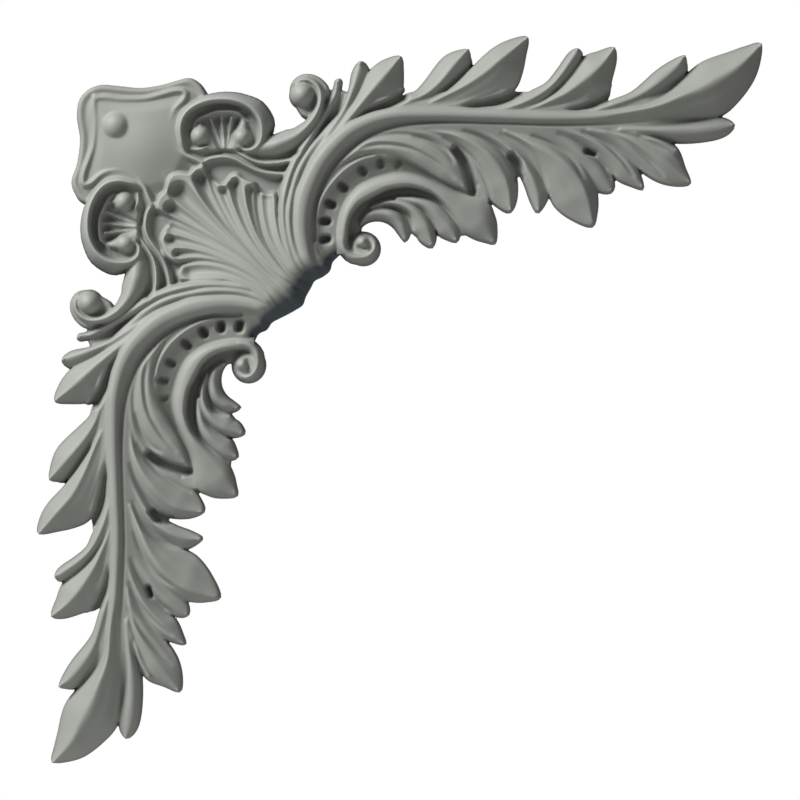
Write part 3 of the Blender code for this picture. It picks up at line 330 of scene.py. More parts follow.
# The leaves on the outer side of the arm, from the corner outwards: ridge, two edges, heights, powers
OUTER_LEAVES = (
    ([(318, 152), (332, 131), (344, 110), (352, 92), (357, 76), (361, 62)],
     [(306, 166), (322, 140), (340, 112), (348, 90), (351, 74), (356, 64), (362, 61)],
     [(330, 150), (345, 126), (360, 98), (370, 76), (368, 66), (362, 61)],
     (0.58, 0.56, 0.5, 0.36), (0.42, 0.4, 0.3, 0.16)),
    ([(318, 160), (338, 134), (350, 120), (368, 98), (380, 84), (392, 70), (401, 58)],
     [(310, 166), (330, 134), (350, 105), (360, 86), (369, 71), (383, 60), (401, 56)],
     [(330, 162), (350, 138), (380, 113), (398, 102), (403, 93), (404, 72), (401, 56)],
     (0.6, 0.6, 0.6, 0.56, 0.44), (0.46, 0.44, 0.34, 0.26, 0.18), (1.1, 0.8)),
    ([(372, 124), (395, 110), (410, 103), (425, 97), (437, 88), (446, 78), (456, 65), (468, 51)],
     [(345, 142), (375, 115), (404, 95), (415, 91), (425, 80), (440, 60), (452, 52), (468, 49)],
     [(395, 122), (425, 108), (445, 96), (460, 82), (472, 67), (471, 57), (468, 49)],
     (0.54, 0.54, 0.54, 0.5, 0.4), (0.4, 0.34, 0.26, 0.2, 0.16), (1.2, 0.8)),
    ([(405, 112), (425, 106), (455, 93), (470, 85), (485, 75), (500, 62), (515, 50), (528, 39)],
     [(385, 122), (420, 108), (445, 92), (460, 79), (472, 67), (490, 50), (508, 40), (528, 37)],
     [(430, 122), (470, 114), (500, 104), (516, 89), (522, 76), (526, 58), (528, 37)],
     (0.54, 0.58, 0.6, 0.56, 0.44), (0.42, 0.4, 0.36, 0.26, 0.16), (1.0, 0.75)),
    ([(480, 115), (508, 109), (528, 102), (546, 91), (560, 76), (577, 50)],
     [(470, 118), (505, 106), (530, 91), (545, 83), (556, 70), (568, 53), (577, 48)],
     [(505, 118), (535, 107), (556, 92), (572, 74), (583, 57), (581, 51), (577, 48)],
     (0.5, 0.54, 0.52, 0.39), (0.4, 0.38, 0.34, 0.22), (1.2, 1.6), 2.5, 0.012),
    ([(500, 115), (530, 110), (560, 98), (572, 91), (583, 83), (595, 73), (605, 62), (614, 49)],
     [(488, 119), (530, 108), (552, 93), (568, 75), (583, 57), (598, 51), (614, 47)],
     [(530, 119), (570, 112), (598, 106), (609, 98), (612, 82), (617, 60), (614, 47)],
     (0.52, 0.54, 0.56, 0.52, 0.41), (0.42, 0.38, 0.32, 0.24, 0.16), (1.1, 0.75)),
    ([(570, 115), (600, 110), (625, 103), (645, 94), (665, 79), (676, 68), (684, 57)],
     [(555, 119), (590, 110), (611, 100), (632, 91), (655, 71), (670, 61), (684, 55)],
     [(600, 118), (635, 106), (660, 94), (676, 83), (687, 73), (687, 61), (684, 55)],
     (0.46, 0.48, 0.46, 0.36), (0.38, 0.32, 0.24, 0.16), (1.8, 1.0)),
)
# The ribs at the feet of the larger outer leaves: path, two half-widths, heights, power
OUTER_RIBS = (
    ([(335, 143), (355, 121), (370, 111), (385, 102), (401, 90)],
     (3, 5, 4), (3, 5, 4), (0.56, 0.54, 0.5, 0.3), (0.44, 0.38, 0.3, 0.2), 1.4),
    ([(430, 112), (455, 106), (470, 101), (488, 94), (503, 86), (516, 76)],
     (3, 5, 4), (3, 6, 5), (0.54, 0.52, 0.46, 0.28), (0.4, 0.34, 0.26, 0.18), 1.3),
    ([(535, 113), (560, 108), (576, 103), (592, 95), (607, 85)],
     (3, 5, 4), (3, 5, 5), (0.5, 0.48, 0.42, 0.26), (0.4, 0.34, 0.26, 0.18), 1.3),
)


def outer_leaves(relief):
    """The leaves on the outer side of the arm, from the corner outwards."""
    for leaf in OUTER_LEAVES:
        relief.leaf(*leaf)
    for rib in OUTER_RIBS:
        relief.rib(*rib)


# The valleys under them: path, half-width, floor, lift
OUTER_VALLEYS = (
    ([(352, 123), (368, 113), (385, 107), (402, 98)],
     (1.5, 3, 4.5, 5.5), (0.5, 0.36, 0.24, 0.14), 0.14),
    ([(456, 109), (482, 106), (503, 101), (518, 93)],
     (1.5, 3.5, 5, 5.5), (0.5, 0.3, 0.2, 0.14), 0.14),
    ([(560, 112), (582, 109), (598, 103), (610, 96)],
     (1.5, 3, 4.5, 5.5), (0.46, 0.3, 0.2, 0.14), 0.14),
)


def outer_valleys(relief):
    """The valleys that run out between the stem and the outer leaves."""
    for groove in OUTER_VALLEYS:
        relief.groove(*groove)


def end_leaf(relief):
    """The large leaf that ends the arm."""
    relief.leaf(
        [(595, 118), (640, 111), (660, 106), (680, 98), (700, 90), (720, 79), (738, 67), (761, 45)],
        [(590, 117), (635, 108), (664, 93), (687, 73), (703, 61), (728, 52), (745, 46), (761, 43)],
        [(590, 123), (650, 123), (690, 121), (720, 117), (738, 103), (754, 81), (761, 60), (761, 43)],
        (0.54, 0.57, 0.59, 0.58, 0.5, 0.35), (0.4, 0.34, 0.25, 0.19, 0.15, 0.12), (1.1, 1.1), 2.5, 0.01,
    )


# The leaves on the inner side of the arm, from its end back to the corner
INNER_LEAVES = (
    ([(620, 130), (655, 131), (690, 131), (715, 129), (734, 125)],
     [(600, 128), (650, 126), (700, 120), (722, 117), (735, 125)],
     [(600, 134), (645, 139), (677, 144), (708, 142), (727, 136), (735, 125)],
     (0.46, 0.42, 0.36, 0.26), (0.3, 0.22, 0.16, 0.12), (1.6, 1.6)),
    ([(588, 131), (620, 138), (650, 153), (670, 168), (689, 183)],
     [(585, 128), (620, 131), (650, 136), (676, 146), (686, 168), (691, 184)],
     [(578, 133), (605, 144), (625, 159), (640, 172), (658, 183), (677, 187), (691, 184)],
     (0.47, 0.46, 0.4, 0.25), (0.32, 0.26, 0.18, 0.12), (1.3, 1.1), 2.5, 0.01),
    ([(562, 130), (595, 143), (615, 158), (630, 173), (643, 189)],
     [(560, 128), (592, 134), (612, 144), (629, 158), (640, 172), (644, 190)],
     [(556, 133), (578, 143), (597, 157), (610, 172), (617, 181), (630, 187), (644, 190)],
     (0.47, 0.45, 0.38, 0.23), (0.32, 0.26, 0.18, 0.12), (1.3, 1.1)),
    ([(556, 138), (578, 153), (597, 172), (611, 192)],
     [(552, 132), (580, 146), (602, 163), (615, 182), (611, 194)],
     [(548, 140), (566, 158), (582, 178), (596, 192), (611, 194)],
     (0.4, 0.37, 0.3, 0.2), (0.3, 0.24, 0.17, 0.12), (1.3, 1.1)),
    ([(505, 133), (530, 145), (555, 158), (574, 176), (586, 198), (592, 222)],
     [(510, 130), (548, 137), (575, 153), (592, 173), (598, 193), (598, 212), (592, 228)],
     [(495, 133), (519, 148), (535, 168), (545, 188), (554, 207), (570, 220), (592, 228)],
     (0.5, 0.54, 0.53, 0.45, 0.28), (0.34, 0.28, 0.22, 0.16, 0.12), (1.0, 1.3), 2.5, 0.01),
    ([(478, 131), (505, 147), (524, 167), (535, 190), (538, 212)],
     [(480, 129), (512, 142), (531, 160), (543, 180), (549, 197), (538, 214)],
     [(468, 131), (497, 148), (513, 165), (523, 184), (530, 203), (538, 214)],
     (0.47, 0.44, 0.36, 0.24), (0.32, 0.24, 0.17, 0.12), (1.2, 1.0)),
    ([(430, 133), (455, 137), (478, 148), (495, 165), (507, 188), (510, 211)],
     [(440, 128), (475, 132), (498, 145), (513, 163), (518, 182), (517, 202), (509, 214)],
     [(415, 132), (445, 139), (459, 152), (471, 173), (480, 191), (493, 205), (509, 214)],
     (0.5, 0.53, 0.51, 0.43, 0.28), (0.34, 0.3, 0.24, 0.17, 0.12), (1.2, 1.0), 2.5, 0.01),
    ([(335, 166), (352, 151), (375, 144), (400, 146), (425, 155), (448, 170), (466, 190)],
     [(335, 155), (360, 141), (390, 135), (420, 137), (445, 146), (458, 159), (466, 175), (469, 192)],
     [(333, 176), (347, 165), (368, 157), (385, 157), (402, 161), (420, 170), (445, 185), (468, 194)],
     (0.58, 0.59, 0.59, 0.56, 0.49, 0.37), (0.46, 0.47, 0.46, 0.43, 0.36, 0.27), (1.4, 1.8), 2.0, 0.004),
)
# The ribs on two of them
INNER_RIBS = (
    ([(608, 131), (635, 135), (655, 142), (674, 152)],
     (3, 5, 4), (3, 5, 5), (0.42, 0.44, 0.36), (0.34, 0.32, 0.26), 1.4),
    ([(345, 147), (372, 136), (400, 132), (430, 136), (452, 147)],
     (3, 4, 4), (3, 5, 5), (0.5, 0.52, 0.5, 0.42), (0.42, 0.42, 0.4, 0.36), 1.6),
)
# The gaps between them
GAPS = (
    ([(455, 151), (463, 161), (469, 175), (472, 192)],
     (3.5, 4.5, 5, 4.5), (0.12, 0.06, 0.04, 0.04), 0.12),
    ([(511, 157), (517, 166), (519, 180)],
     (3.5, 5, 5), (0.08, 0.04, 0.02), 0.12),
    ([(586.5, 152), (594, 155)],
     3.2, 0.03, 0.25),
    ([(596, 157), (605, 166), (612, 176)],
     2, (0.16, 0.24, 0.24), 0.2),
)


def inner_leaves(relief):
    """The leaves on the inner side of the arm, from its end back to the corner."""
    for leaf in INNER_LEAVES:
        relief.leaf(*leaf)
    for rib in INNER_RIBS:
        relief.rib(*rib)
    for path in PARTINGS:
        relief.score(path, PARTING_HALF, PARTING_DEPTH)
    for groove in GAPS:
        relief.groove(*groove)


# Fine lines between the inner leaves and down their faces, from the gap beside the first to the end
PARTINGS = (
    [(412, 138), (430, 143), (446, 153), (454, 165)],
    [(442, 138), (466, 153), (481, 172), (492, 198)],
    [(462, 132), (482, 139), (500, 151), (510, 162)],
    [(500, 134), (522, 145), (538, 163), (547, 188)],
    [(530, 137), (552, 147), (572, 162), (583, 180)],
    [(556, 134), (578, 144), (598, 160), (612, 180)],
    [(580, 133), (602, 144), (620, 160), (634, 178)],
    [(606, 132), (630, 146), (650, 163), (664, 178)],
    [(636, 136), (654, 138), (668, 141), (677, 143)],
    [(360, 150), (382, 146), (410, 150), (436, 164), (455, 180)],
)
PARTING_HALF = 3.0
PARTING_DEPTH = 0.085

PITS = (0.08, 0.21, 0.34, 0.49, 0.665, 0.805, 0.935)  # where the pits lie, shares of the band
PIT_ACROSS = 2.2  # from the middle of a pit to where its round ends start
PIT_HALF = 4.3
PIT_FLOOR = 0.27  # of the first pit
PIT_FALL = 0.08  # how much lower the last one lies


def pearl_band(relief):
    """The curved band of pits between two rims, inside the sweep of the stem."""
    middle = [(328, 251), (326, 244), (325, 226), (330, 206), (343, 188), (362, 172), (384, 164),
              (408, 168)]
    relief.groove(
        [*middle, (430, 176)],
        (9, 9, 9.5, 9.5, 9, 8, 8), (0.5, 0.5, 0.49, 0.46, 0.42, 0.36, 0.3), 0.05,
    )
    relief.rib(
        [(333, 252), (327, 257), (320, 250), (316.5, 240), (316, 226), (320, 206), (331, 186), (348, 169),
         (368, 159), (392, 157)],
        3.5, 4, (0.5, 0.58, 0.62, 0.62, 0.6, 0.56, 0.51, 0.46), (0.45, 0.48, 0.48, 0.46, 0.44, 0.4), 1.8,
    )
    line = through(middle, 1.0)
    for share in PITS:
        number = int(share * (len(line) - 1))
        ahead = line[number + 1] - line[number - 1]
        cross = np.array([ahead[1], -ahead[0]]) / np.linalg.norm(ahead) * PIT_ACROSS
        floor = PIT_FLOOR - PIT_FALL * share
        relief.groove([line[number] - cross, line[number], line[number] + cross], PIT_HALF, floor, 0.14)


def inner_acanthus(relief):
    """The leaf that grows out of the small volute and hangs inside the arm."""
    relief.sheet(
        [(343, 252), (342, 236), (344, 218), (354, 200), (374, 186), (400, 180), (425, 184), (450, 196),
         (470, 212), (474, 232), (458, 236), (437, 233), (422, 232), (410, 234), (400, 230), (388, 221.5),
         (374, 219.5), (364, 224), (361, 234), (360, 246), (351, 254)],
        0.22,
    )
    relief.leaf(
        [(398, 198), (425, 206), (440, 218), (450, 230), (456, 241)],
        [(395, 194), (420, 197), (440, 205), (455, 220), (461, 232), (457, 243)],
        [(395, 203), (418, 209), (428, 218), (435, 230), (438, 236), (446, 240.5), (457, 243)],
        (0.44, 0.47, 0.45, 0.4, 0.32), (0.36, 0.34, 0.28, 0.16), (1.6, 1.4), 2.5, 0.006,
    )
    relief.leaf(
        [(374, 208), (390, 203.5), (406, 207), (418, 216), (426, 228), (431, 244)],
        [(370, 205), (382, 200), (395, 199), (408, 202), (420, 208), (429, 217), (434, 227), (437, 238),
        (432, 249)],
        [(370, 211), (385, 208), (397, 209), (408, 215), (411, 224), (411, 233), (416, 237), (421, 244),
        (432, 249)],
        (0.4, 0.46, 0.46, 0.42, 0.33), (0.32, 0.3, 0.26, 0.16), (1.6, 1.4),
    )
    relief.leaf(
        [(362, 224), (368, 216), (378, 213), (390, 215), (399, 223), (404, 234), (405.5, 241)],
        [(359, 220), (364, 213), (371, 209), (380, 207), (390, 208), (400, 212), (407, 220), (411, 230),
         (410, 237), (405, 243)],
        [(361, 229), (366, 224.5), (373, 222), (381, 222), (388, 224.5), (394, 229.5), (399, 236.5),
        (405, 243)],
        (0.36, 0.44, 0.46, 0.4, 0.3), (0.28, 0.28, 0.24, 0.14), (1.6, 1.6),
    )
    relief.leaf(
        [(343, 254), (343, 240), (345, 227), (349, 213), (357, 202), (367, 195), (380, 189), (396, 185),
         (412, 184.5), (430, 190), (447, 200), (464, 213), (480, 227), (492, 241)],
        [(335, 256), (336, 245), (337, 230), (340, 215), (346, 200), (357, 187), (370, 180), (385, 175),
         (400, 172.5), (415, 174), (430, 179), (445, 186), (458, 192), (470, 195), (483, 198), (491, 205),
         (494, 212), (497.5, 225), (496, 244)],
        [(350, 254), (349, 240), (350, 226), (354, 215), (361, 206), (370, 200.5), (379, 196), (388, 191.5),
         (400, 189.5), (410, 189), (420, 191), (430, 195), (440, 203), (450, 216), (460, 231), (472, 239),
         (484, 243), (496, 244)],
        (0.5, 0.58, 0.61, 0.61, 0.59, 0.55, 0.5, 0.45, 0.4, 0.28),
        (0.42, 0.44, 0.46, 0.44, 0.38, 0.32, 0.28, 0.22, 0.17, 0.12), (2.0, 3.0),
    )
    relief.dome((363.5, 249), 17, 0.1, 0.5)
    relief.rib(
        [(342, 240), (343.5, 250), (349.5, 256.5), (358, 258.5), (366, 257.5), (372.5, 253), (375, 246.5),
         (372.5, 240.5), (367, 238)],
        (6, 7, 7, 6.5, 6, 5, 4, 3.5, 3), (5, 5, 5.5, 6.5, 7, 6.5, 5.5, 4, 3),
        (0.58, 0.57, 0.56, 0.56, 0.55, 0.54, 0.52, 0.46, 0.36), (0.38, 0.34, 0.28, 0.24, 0.24, 0.28), 2.0,
    )
    relief.dome((362.5, 243), 5.5, 0.42, 0.6)
    relief.groove(
        [(353.5, 252), (350.5, 243), (350, 234), (351.5, 225), (356, 215), (364, 207), (374, 201.5),
         (384, 197), (396, 193.5), (410, 193), (422, 195.5), (434, 201), (446, 210)],
        (1.5, 2.2, 2.5, 2.8, 3.2, 3.5, 3.5, 4, 4.5, 4.5, 4, 3, 2),
        (0.5, 0.42, 0.34, 0.28, 0.24, 0.2, 0.18, 0.15, 0.14, 0.16, 0.22, 0.32, 0.42), 0.15,
    )
    relief.groove(
        [(356.5, 243), (358.5, 248), (364, 249.8), (369.5, 247)],
        (1.5, 2, 2.2, 1.4), (0.5, 0.4, 0.4, 0.5), 0.08,
    )


def ball_scroll(relief):
    """The scroll beside the corner plate that curls over a ball, and the web between it and the leaves."""
    relief.sheet(
        [(318, 90), (333, 90), (347, 92), (354, 104), (345, 125), (322, 145), (306, 138), (315, 115)],
        0.24,
    )
    relief.sheet(
        [(289, 96), (291, 84), (299, 76), (310, 74), (322, 79), (330, 90), (326, 104), (316, 120),
         (304, 119), (297, 110)],
        0.34, 3,
    )
    relief.rib(
        [(250, 150), (265, 149), (280, 145), (296, 138), (309, 127), (318, 114), (322, 101), (320, 90),
         (312, 82.5), (302, 81), (294.5, 86)],
        (8, 12, 12, 12, 9, 7, 7, 7, 7, 6, 4), (8, 10, 12, 12, 10, 7, 5, 4, 4, 4, 3),
        (0.44, 0.52, 0.6, 0.62, 0.62, 0.6, 0.58, 0.54, 0.5, 0.44),
        (0.3, 0.32, 0.34, 0.34, 0.3, 0.28, 0.28, 0.28), 1.8, 3,
    )
    relief.dome((303, 96), 13, 0.2, 0.66)
    relief.groove(
        [(300, 83.5), (306, 83.5), (312, 87), (315.5, 93), (316, 101), (312, 108)],
        (1, 1.8, 1.8, 1.8), (0.5, 0.4, 0.38, 0.34, 0.34), 0.12, 0.012,
    )


# The four flutes of the small shell, from its rim to its foot
SMALL_FLUTES = (
    [(207, 124), (216, 138), (221.5, 151)],
    [(217.5, 121), (221, 136), (224, 151)],
    [(227, 120.5), (227.5, 137), (227, 151)],
    [(237.5, 122), (232, 138), (229.5, 151)],
)


def shell_scroll(relief):
    """The round C scroll with a small shell between the two balls in its hollow."""
    relief.sheet(
        [(186, 118), (198, 108), (215, 103), (236, 104), (253, 113), (262, 128), (258, 148), (238, 155),
         (205, 157), (188, 152), (183, 136)],
        0.34,
    )
    relief.rib(
        [(195, 128), (199, 121.5), (209, 117.5), (216, 114.5), (227, 114), (237, 115), (244, 118.5),
        (250, 122)],
        6, 2, (0.42, 0.5, 0.52, 0.5, 0.42), 0.3, 1.2,
    )
    relief.sheet(
        [(198, 126), (209, 119), (226, 116), (241, 119.5), (249, 125), (246, 146), (234, 154), (220, 154),
        (205, 150)],
        0.46, 2.0,
    )
    for flute in SMALL_FLUTES:
        relief.groove(flute, (4.6, 3.4, 2), (0.2, 0.24, 0.36), 0.16, 0.01)
    relief.groove([(241, 111), (246, 116), (252, 121)], (1.5, 2.5, 2), (0.34, 0.26, 0.3), 0.15, 0.01)
    relief.rib(
        [(190, 157), (185, 149), (183, 140), (182.5, 129), (186, 118), (195, 109.5), (209, 104),
         (225, 102.5), (240, 105), (252, 112), (259.5, 122), (261.5, 133), (260, 143), (254, 150),
         (246, 151), (240, 147)],
        (4, 6, 7, 7, 8, 10, 11, 12, 15, 15, 10, 6, 4), (3, 4, 4, 4, 4, 4, 4, 4, 3, 3, 3, 3, 3),
        (0.4, 0.56, 0.62, 0.65, 0.68, 0.68, 0.68, 0.66, 0.64, 0.6, 0.56, 0.5),
        (0.26, 0.28, 0.26, 0.2, 0.2, 0.22, 0.3), 1.7, 4,
    )
    relief.dome((201, 137), 10.5, 0.28, 0.62)
    relief.rib([(193, 150), (201, 151), (208, 148)], 3, 3, (0.44, 0.5, 0.5), 0.34)
    relief.groove([(192, 146.5), (200, 147), (207, 146)], 1.6, 0.36, 0.12)
    relief.dome((243, 138.5), 9.5, 0.32, 0.6)
    relief.groove([(251, 131), (256, 135), (256, 141), (252, 146), (246, 148)], 2.6, 0.36, 0.15)


def sunk_panel(relief):
    """The sunk ground beside the shell."""
    relief.sheet(
        [(185, 140), (215, 150), (250, 152), (300, 150), (300, 200), (285, 230), (240, 200), (195, 180)],
        0.31,
    )


def panel_ridges(relief):
    """The two ridges that bound the sunk ground, and the grooves beside them."""
    relief.groove(
        [(194, 155), (210, 155.5), (225, 153), (238, 155), (250, 159), (265, 160), (283, 158), (295, 153)],
        (2, 3, 3, 3, 4, 5, 5, 5), (0.36, 0.3, 0.26, 0.3, 0.34, 0.36), 0.2,
    )
    relief.rib(
        [(231, 149), (240, 154.5), (249, 160), (259, 164), (270, 165), (287, 163), (300, 158)],
        (2, 3.5, 3.5), (2, 3, 3), (0.44, 0.52, 0.56, 0.58), 0.38, 1.6,
    )
    relief.rib(
        [(202, 167), (208, 161), (217, 158.5), (227, 158), (238, 161), (249, 167), (259, 171.5), (270, 174),
         (287, 175), (300, 173)],
        (3, 3, 3), (4, 4, 5, 5), (0.46, 0.52, 0.52, 0.52, 0.52), 0.36, 1.5,
    )
    relief.groove(
        [(226, 154), (238, 157.5), (249, 163), (260, 168), (272, 169.5), (284, 169)],
        (1.5, 2, 2.4, 1.5), (0.34, 0.38, 0.38, 0.48), 0.15, 0.012,
    )


# Lines of the shell from rim to base: its lower margin (-3), its middle (0), its upper margin (3)
SHELL_LINES = (
    [(187, 290), (205, 284), (228, 284), (250, 293), (265, 307), (272, 318)],
    [(178, 265), (200, 262), (225, 266), (248, 276), (268, 291), (283, 311)],
    [(156, 214), (180, 224), (208, 238), (238, 256), (264, 277), (292, 304)],
    [(168, 182), (190, 205), (220, 232), (250, 258), (275, 280), (299, 299)],
    [(209, 171), (218, 198), (234, 228), (252, 252), (274, 275), (305, 292)],
    [(258, 188), (259, 211), (265, 237), (276, 257), (291, 275), (311, 284)],
    [(278, 194), (280, 220), (286, 245), (295, 262), (306, 272), (320, 276)],
)
# Flutes of the shell: place across its lines, start along them, half-width at the rim, depth
FLUTES = (
    (-2.4, 0.05, 7.0, 0.09), (-1.8, 0.03, 5.5, 0.16), (-1.5, 0.03, 6.5, 0.18),
    (-1.2, 0.08, 7.0, 0.18), (-0.62, 0.05, 8.5, 0.25), (0.06, 0.05, 11.5, 0.26), (0.76, 0.04, 8.5, 0.28),
    (1.2, 0.09, 6.5, 0.19), (1.52, 0.02, 7.0, 0.23), (1.86, 0.04, 5.0, 0.18), (2.45, 0.06, 6.5, 0.09),
)
LOBE_STEP = 0.13  # how far each lobe lies behind the one before it, at the rim
SHELL_RIM = [(180, 283), (177, 274), (180, 267), (171, 262), (164, 255), (162, 248), (160, 241), (164, 232),
             (170, 224), (160, 219), (156, 214), (156, 205), (159, 197), (165, 191), (167, 181), (173, 174),
             (182, 172), (190, 173), (196, 167), (205, 165.5), (211, 171), (215, 180), (221, 184), (227, 182),
             (231, 176), (238, 173), (244, 178), (251, 181), (257, 184), (261, 191), (269, 194), (278, 194)]
SHELL_FOOT = [(324, 290), (312, 304), (304, 313), (290, 322)]  # beyond the inner corner, which cuts it off
ROLL = (9.0, 15.0, 30.0, 30.0, 15.0, 9.0)  # width over which the inner corner rolls down, along the line
ROLL_LINE = [(352, 236), (347, 246), (341, 254), (333, 262), (330, 271), (323, 277), (315, 281), (311, 288),
             (306, 297), (303, 305), (296, 310), (287, 315), (279, 319), (272, 323), (267, 330), (259, 334),
             (254, 342), (246, 347), (236, 352)]
RIM_LEVEL = 0.48  # height of the shell where it starts to climb
BASE_LEVEL = 0.9  # and at its base
CLIMB_START = 175.0  # where it starts to climb, across and down alike
CLIMB = 230.0  # how far it climbs over, across and down together
LOBE_EASE = 3.0  # width of the step between two lobes
LIP = 0.035  # height of the lip along the rim
LIP_IN = 2.0  # how far inside the rim it is highest
LIP_WIDTH = 3.0
LIP_END = 470.0  # where it ends, across and down together
LINE_STEPS = 24  # points on a line of the shell
TAPER = 0.7  # power by which the flutes narrow and flatten towards the base
FLUTE_FOOT = 2.5  # half-width of a flute at the base
# Creases between the lobes: place across the lines, depth at the rim
CREASES = ((-2, 0.13), (-1, 0.2), (1, 0.22), (2, 0.18))
CREASE_HALF = 3.6  # half-width of a crease at the rim
CREASE_NARROWS = 1.4  # how much less it is at the base


def shell_line(place):
    """The line of the shell at a place between its margins."""
    low = min(int(np.floor(place)), 2)
    one, two = (through(SHELL_LINES[number + 3], 1.0) for number in (low, low + 1))
    steps = np.linspace(0, 1, LINE_STEPS)
    one, two = (np.column_stack([along(axis, steps) for axis in line.T]) for line in (one, two))
    return one + (two - one) * (place - low)


def shell_level(points):
    """The height of the unfluted shell: it climbs from its rim to its base, and its lobes overlap.

    It is RIM_LEVEL + (BASE_LEVEL - RIM_LEVEL) * sin(90 degrees * rise), with rise from 0 to 1 down the
    mitre line, less LOBE_STEP for each lobe line that a point lies beyond, fading to 0 at the base."""
    rise = (((points - CLIMB_START).sum(axis=-1)) / CLIMB).clip(0, 1)
    level = RIM_LEVEL + (BASE_LEVEL - RIM_LEVEL) * np.sin(rise * np.pi / 2)
    for place in (-2, -1, 1, 2):
        distance, share, side = nearest(points, shell_line(place))
        beyond = np.clip(0.5 - np.sign(place) * side * distance / LOBE_EASE, 0, 1)
        level = level - LOBE_STEP * (1 - share) * beyond
    return level


def shell(relief):
    """The fluted shell over the corner, rising to the inner corner."""
    ring = [*SHELL_RIM, *SHELL_LINES[6][1:], *SHELL_FOOT, *SHELL_LINES[0][:0:-1]]

    def level(points, depth):
        lip = LIP * np.exp(-((depth - LIP_IN) / LIP_WIDTH) ** 2) * (points.sum(axis=1) < LIP_END)
        return shell_level(points) + lip

    relief.sheet(ring, level, 3.0)
    for place, start, width, depth in FLUTES:
        line = shell_line(place)[int(start * LINE_STEPS) + 1:]
        steps = np.linspace(0, 1, len(line))
        half = width * (1 - steps) ** TAPER + FLUTE_FOOT * steps
        cut = depth * (1 - steps) ** TAPER
        relief.groove(line, half, shell_level(line) - cut, 0.95 * depth, 0.012)
    for place, depth in CREASES:
        line = shell_line(place)
        steps = np.linspace(0, 1, len(line))
        floor = shell_level(line) - depth * (1 - 0.7 * steps**2)
        relief.groove(line, CREASE_HALF - CREASE_NARROWS * steps, floor, 0.1, 0.012)


def roll_over(relief):
    """Rounds the inner corner: the flutes turn over and run steeply down to the back.

    The height is multiplied by sqrt(u(2 - u)), u = depth behind the line / ROLL up to 1, and beyond
    the line it falls by WALL a unit."""
    line = through(ROLL_LINE, 2.0)
    at = relief.near(line, max(ROLL))
    if not len(at):
        return
    points = relief.points[at]
    solid = np.vstack([line, [(236, 440), (40, 440), (40, 40), (440, 40), (440, 236)]])
    distance, share, _ = nearest(points, line)
    depth = distance * np.where(inside(points, solid), 1, -1)
    up = np.clip(depth / along(ROLL, share), 0, 1)
    old = relief.height[at]
    relief.height[at] = np.where(depth > 0, old * np.sqrt(up * (2 - up)), np.minimum(old, depth * WALL))


# The plate: its section from the edge inwards, and the swell of its middle
PLATE_DEPTHS = np.array([0, 2, 4.5, 7, 9, 11, 15, 60])
PLATE_LEVELS = np.array([0.2, 0.27, 0.31, 0.29, 0.27, 0.275, 0.3, 0.3])
SWELL = 0.22
SWELL_CENTRE = (148, 148)
SWELL_REACH = 42
SWELL_START = 11  # depth inside the edge at which the swell starts
SWELL_EASE = 16  # and over which it comes in


def corner_plate(relief):
    """The plate with a lip and a cove round it, and a boss in its outer corner.

    Its height is the section's at each depth, plus SWELL times a bell curve about the middle."""

    def level(points, depth):
        swell = np.exp(-((np.linalg.norm(points - SWELL_CENTRE, axis=1) / SWELL_REACH) ** 2))
        ease = np.clip((depth - SWELL_START) / SWELL_EASE, 0, 1)
        return np.interp(depth, PLATE_DEPTHS, PLATE_LEVELS) + SWELL * swell * ease * ease * (3 - 2 * ease)

    relief.sheet(
        [(208, 94), (201, 84), (190, 78), (176, 81), (160, 85.5), (140, 88), (118, 86), (101, 85), (88, 90),
         (79, 101), (77, 118), (80, 140), (77, 164), (71.5, 181), (75, 194), (85, 205), (120, 215),
         (175, 205), (200, 180), (212, 140)],
        level, 2.5,
    )
    relief.dome((117.5, 127), 13.5, 0.3, 0.56)


def bead(relief):
    """The thin bead that follows the edge of the plate and turns round the C scroll."""
    relief.rib(
        [(98, 99), (108, 98.5), (122, 100.5), (145, 100), (160, 96.5), (174, 92.5), (184, 92), (187, 95),
         (184, 102), (177, 109), (172.5, 118), (171, 129), (172.5, 140), (178, 149), (186, 156), (195, 160),
        (204, 164)],
        4.2, 4.2, (0.34, 0.35, 0.38, 0.42, 0.5), 0.27,
    )


def arm(points):
    """The height of the right arm and its half of the corner."""
    relief = Relief(points)
    sunk_panel(relief)
    ground(relief)
    pearl_band(relief)
    outer_leaves(relief)
    outer_valleys(relief)
    end_leaf(relief)
    inner_leaves(relief)
    stems(relief)
    bead(relief)
    shell_scroll(relief)
    ball_scroll(relief)
    panel_ridges(relief)
    return relief.height


# The carver's lower arm is the right arm turned over the diagonal, and strays from it by these
# amounts: where on the right arm, and how far right and down before it is turned over.
STRAYS = np.array(
    [
        (230, 92, 0, -11), (200, 137, 2, -13), (244, 138, 3, -17), (226, 157, 3, -9),
        (225, 116, 3, -15), (272, 125, -2, -9), (285, 168, 0, -5), (302, 95, 2, -5), (339, 82, -3, -5),
        (361, 62, 0, 5), (402, 56, 0, -4),
        (468, 49, 14, 0), (529, 38, 8, 0), (578, 49, -5, 10), (616, 48, 5, 2), (683, 56, 2, 4),
        (761, 44, 1, 10), (735, 125, 5, 1), (690, 185, 2, -4), (644, 190, -1, -5), (613, 193, 5, -3),
        (590, 228, 7, -8), (538, 214, -2, -14), (510, 213, 5, -9), (467, 193, -3, -1), (496, 243, 0, -6),
        (431, 248, 1, -6), (406, 240, 4, 1), (363, 245, 3, 0), (450, 120, 0, -1), (600, 122, 0, -3),
        (301, 200, 3, 0), (310, 265, 0, 0), (330, 265, 0, 0), (350, 140, 0, 0), (690, 100, 2, 3),
        (104, 99, 0, -2), (130, 100, 0, -5), (158, 95, 0, -5), (185, 92, -4, -8),
    ],
    float,
)
